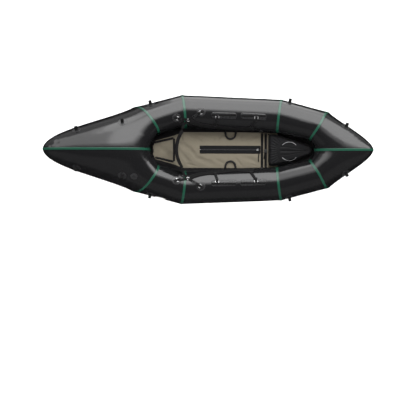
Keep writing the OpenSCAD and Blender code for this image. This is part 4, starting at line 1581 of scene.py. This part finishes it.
def sewnDown(place, normal):
    # the groove and seams of the centre panel, the pleats at its aft end, and a few soft dimples
    if normal.z < 0.25:
        return place
    y = abs(place.y - foot["middleY"])
    dx, dy = [value - middle * mm for value, middle in zip(place, foot["pleatMiddle"])]
    far, angle = math.hypot(dx, dy), math.degrees(math.atan2(dy, -dx))
    inPanel = between(place.x, foot["grooveEnds"])
    drop = foot["groove"] * bell(y, 4.0 * mm) * inPanel
    drop += foot["seam"] * bell(y - bandHalf(place.x), 2.6 * mm) * inPanel
    if abs(angle) < 62:
        fan = between(far, foot["pleatBand"]) * (1 - smoothStep(48, 62, abs(angle)))
        drop += foot["pleatDepth"] * fan * (0.5 - 0.5 * math.cos(math.radians(angle) * foot["pleats"]))
        drop += sum(foot["seam"] * bell(far - seam * mm, 2.2 * mm) for seam in foot["pleatSeams"])
    dimple = max(0, noise.noise(place * 24)) * smoothStep(0.18, 0.26, abs(dy) + abs(dx) * 0.4)
    place.z -= drop + foot["dimple"] * dimple
    return place


def makeCushion():
    piece = puffed("foot_cushion_cover", "foot_cushion", cushionCloth, "root", foot,
                   smooth=3)
    reshaped(piece, crowned)
    reshaped(piece, sewnDown)
    return topOf(piece)


onCushion = makeCushion()


def makeWelts():
    middle = Vector((*foot["pleatMiddle"], 0)) * mm
    radius = foot["weltRadius"] * mm
    lines = []
    for start in foot["weltStarts"]:
        arc = [middle + Vector((math.cos(angle), math.sin(angle), 0)) * radius
               for angle in map(math.radians, range(start, start + 97, 4))]
        lines.append([onCushion(point, 1.1 * mm) for point in arc])
    roundTube("cushion_welt_cord", lines, foot["welt"], greyWelt, stands=["cushion_welt"])


def makeCentreBands():
    bm = strapMesh()
    rows = []
    stops = [x * mm for x in range(608, 842, 6)]
    halves = [bandHalf(x) for x in stops]
    widths = [half * foot["bandWidth"] for half in halves]
    for sign in (1, -1):
        line = [onCushion(Vector((x, foot["middleY"] + sign * half * foot["bandAside"], 0)), 0.9 * mm)
                for x, half in zip(stops, halves)]
        addRibbon(bm, line, [up] * len(line), widths, cuts=6, crown=2.2 * mm)
        rows.append(line)
    piece = finishStrap(bm, "cushion_centre_bands", cushionCloth, 1.0 * mm,
                        stands=["cushion_centre_panel"])
    bm = openForSewing(piece)
    for line in rows:
        for edge in (-foot["bandSeam"], foot["bandSeam"]):
            seam = [point + Vector((0, edge * width, 0.8 * mm)) for point, width in zip(line, widths)]
            stitchRow(bm, seam, [up] * len(seam), lift=0.3 * mm, pitch=5 * mm)
    closeSewn(piece, bm)


def makeSideWelt():
    starboard = [(512, -90), (516, -118), (536, -131), (620, -118), (680, -103), (745, -84), (800, -62),
                 (850, -34), (873, -4)]
    port = [(x, -y) for x, y in reversed(starboard)]
    hem = smoothLine([(x, y, 112) for x, y in starboard + port], 8)
    roundTube("cushion_side_welt", [hem], foot["sideWelt"], bindingTape, ring=True)


makeWelts()
makeCentreBands()
makeSideWelt()
print("foot cushion is stuffed and welted")


# ---- cross straps, buckle and small ties ----

cross = {"x": (458, 488), "half": 146, "thick": 1.4 * mm,
         "tail": [(488, -20, 79), (484, -46, 74), (480, -74, 67)]}
ties = {"width": 9 * mm, "thick": 1.3 * mm,
        "routes": [[(433, -12, 66), (430, -40, 68), (427, -70, 66), (429, -98, 66)],
                   [(512, 118, 90), (540, 96, 118), (566, 66, 145), (582, 44, 152)],
                   [(505, 132, 84), (530, 128, 100), (556, 126, 112), (580, 122, 118)]]}


def addFlatStrap(bm, route, width):
    line = smoothLine(route)
    addRibbon(bm, line, [up] * len(line), width)
    return line


def makeCrossStraps():
    bm = strapMesh()
    rows = []
    for x in cross["x"]:
        stops = range(-cross["half"], cross["half"] + 1, 24)
        route = [(x, y, 66.2 + 1.2 * math.cos(y * 0.03)) for y in stops]
        rows.append(addFlatStrap(bm, route, strap["width"] - 1 * mm))
    addFlatStrap(bm, cross["tail"], strap["width"] - 2 * mm)
    piece = finishStrap(bm, "cross_strap_webbing", webbing, cross["thick"], stands=["cross_straps"])
    bm = openForSewing(piece)
    for line in rows:
        for end in (3, -4):
            barTack(bm, line[end] + up * 0.9 * mm, Vector((0, 1, 0)), up, 16 * mm)
    closeSewn(piece, bm)


def makeSmallTies():
    bm = strapMesh()
    for route in ties["routes"]:
        addFlatStrap(bm, route, ties["width"])
    finishStrap(bm, "small_ties", webbing, ties["thick"])


makeCrossStraps()
makeSmallTies()
print("cross straps are threaded")


# ---- metal and plastic that keep the frame's own shapes ----

finishes = {"zip_slider": steel, "zip_end_stop": steel, "zip_pull": blackNickel,
            "cam_buckle_frame": blackPlastic, "cam_buckle_lever": blackPlastic,
            "valve_body": rubber, "valve_cap": blackPlastic, "valve_flap": rubber, "valve_tether": rubber,
            "skeg": blackPlastic, "skeg_base": rubber}
for name, material in finishes.items():
    for slot in nodes[name].material_slots:
        slot.material = material
print("small parts have their finish")
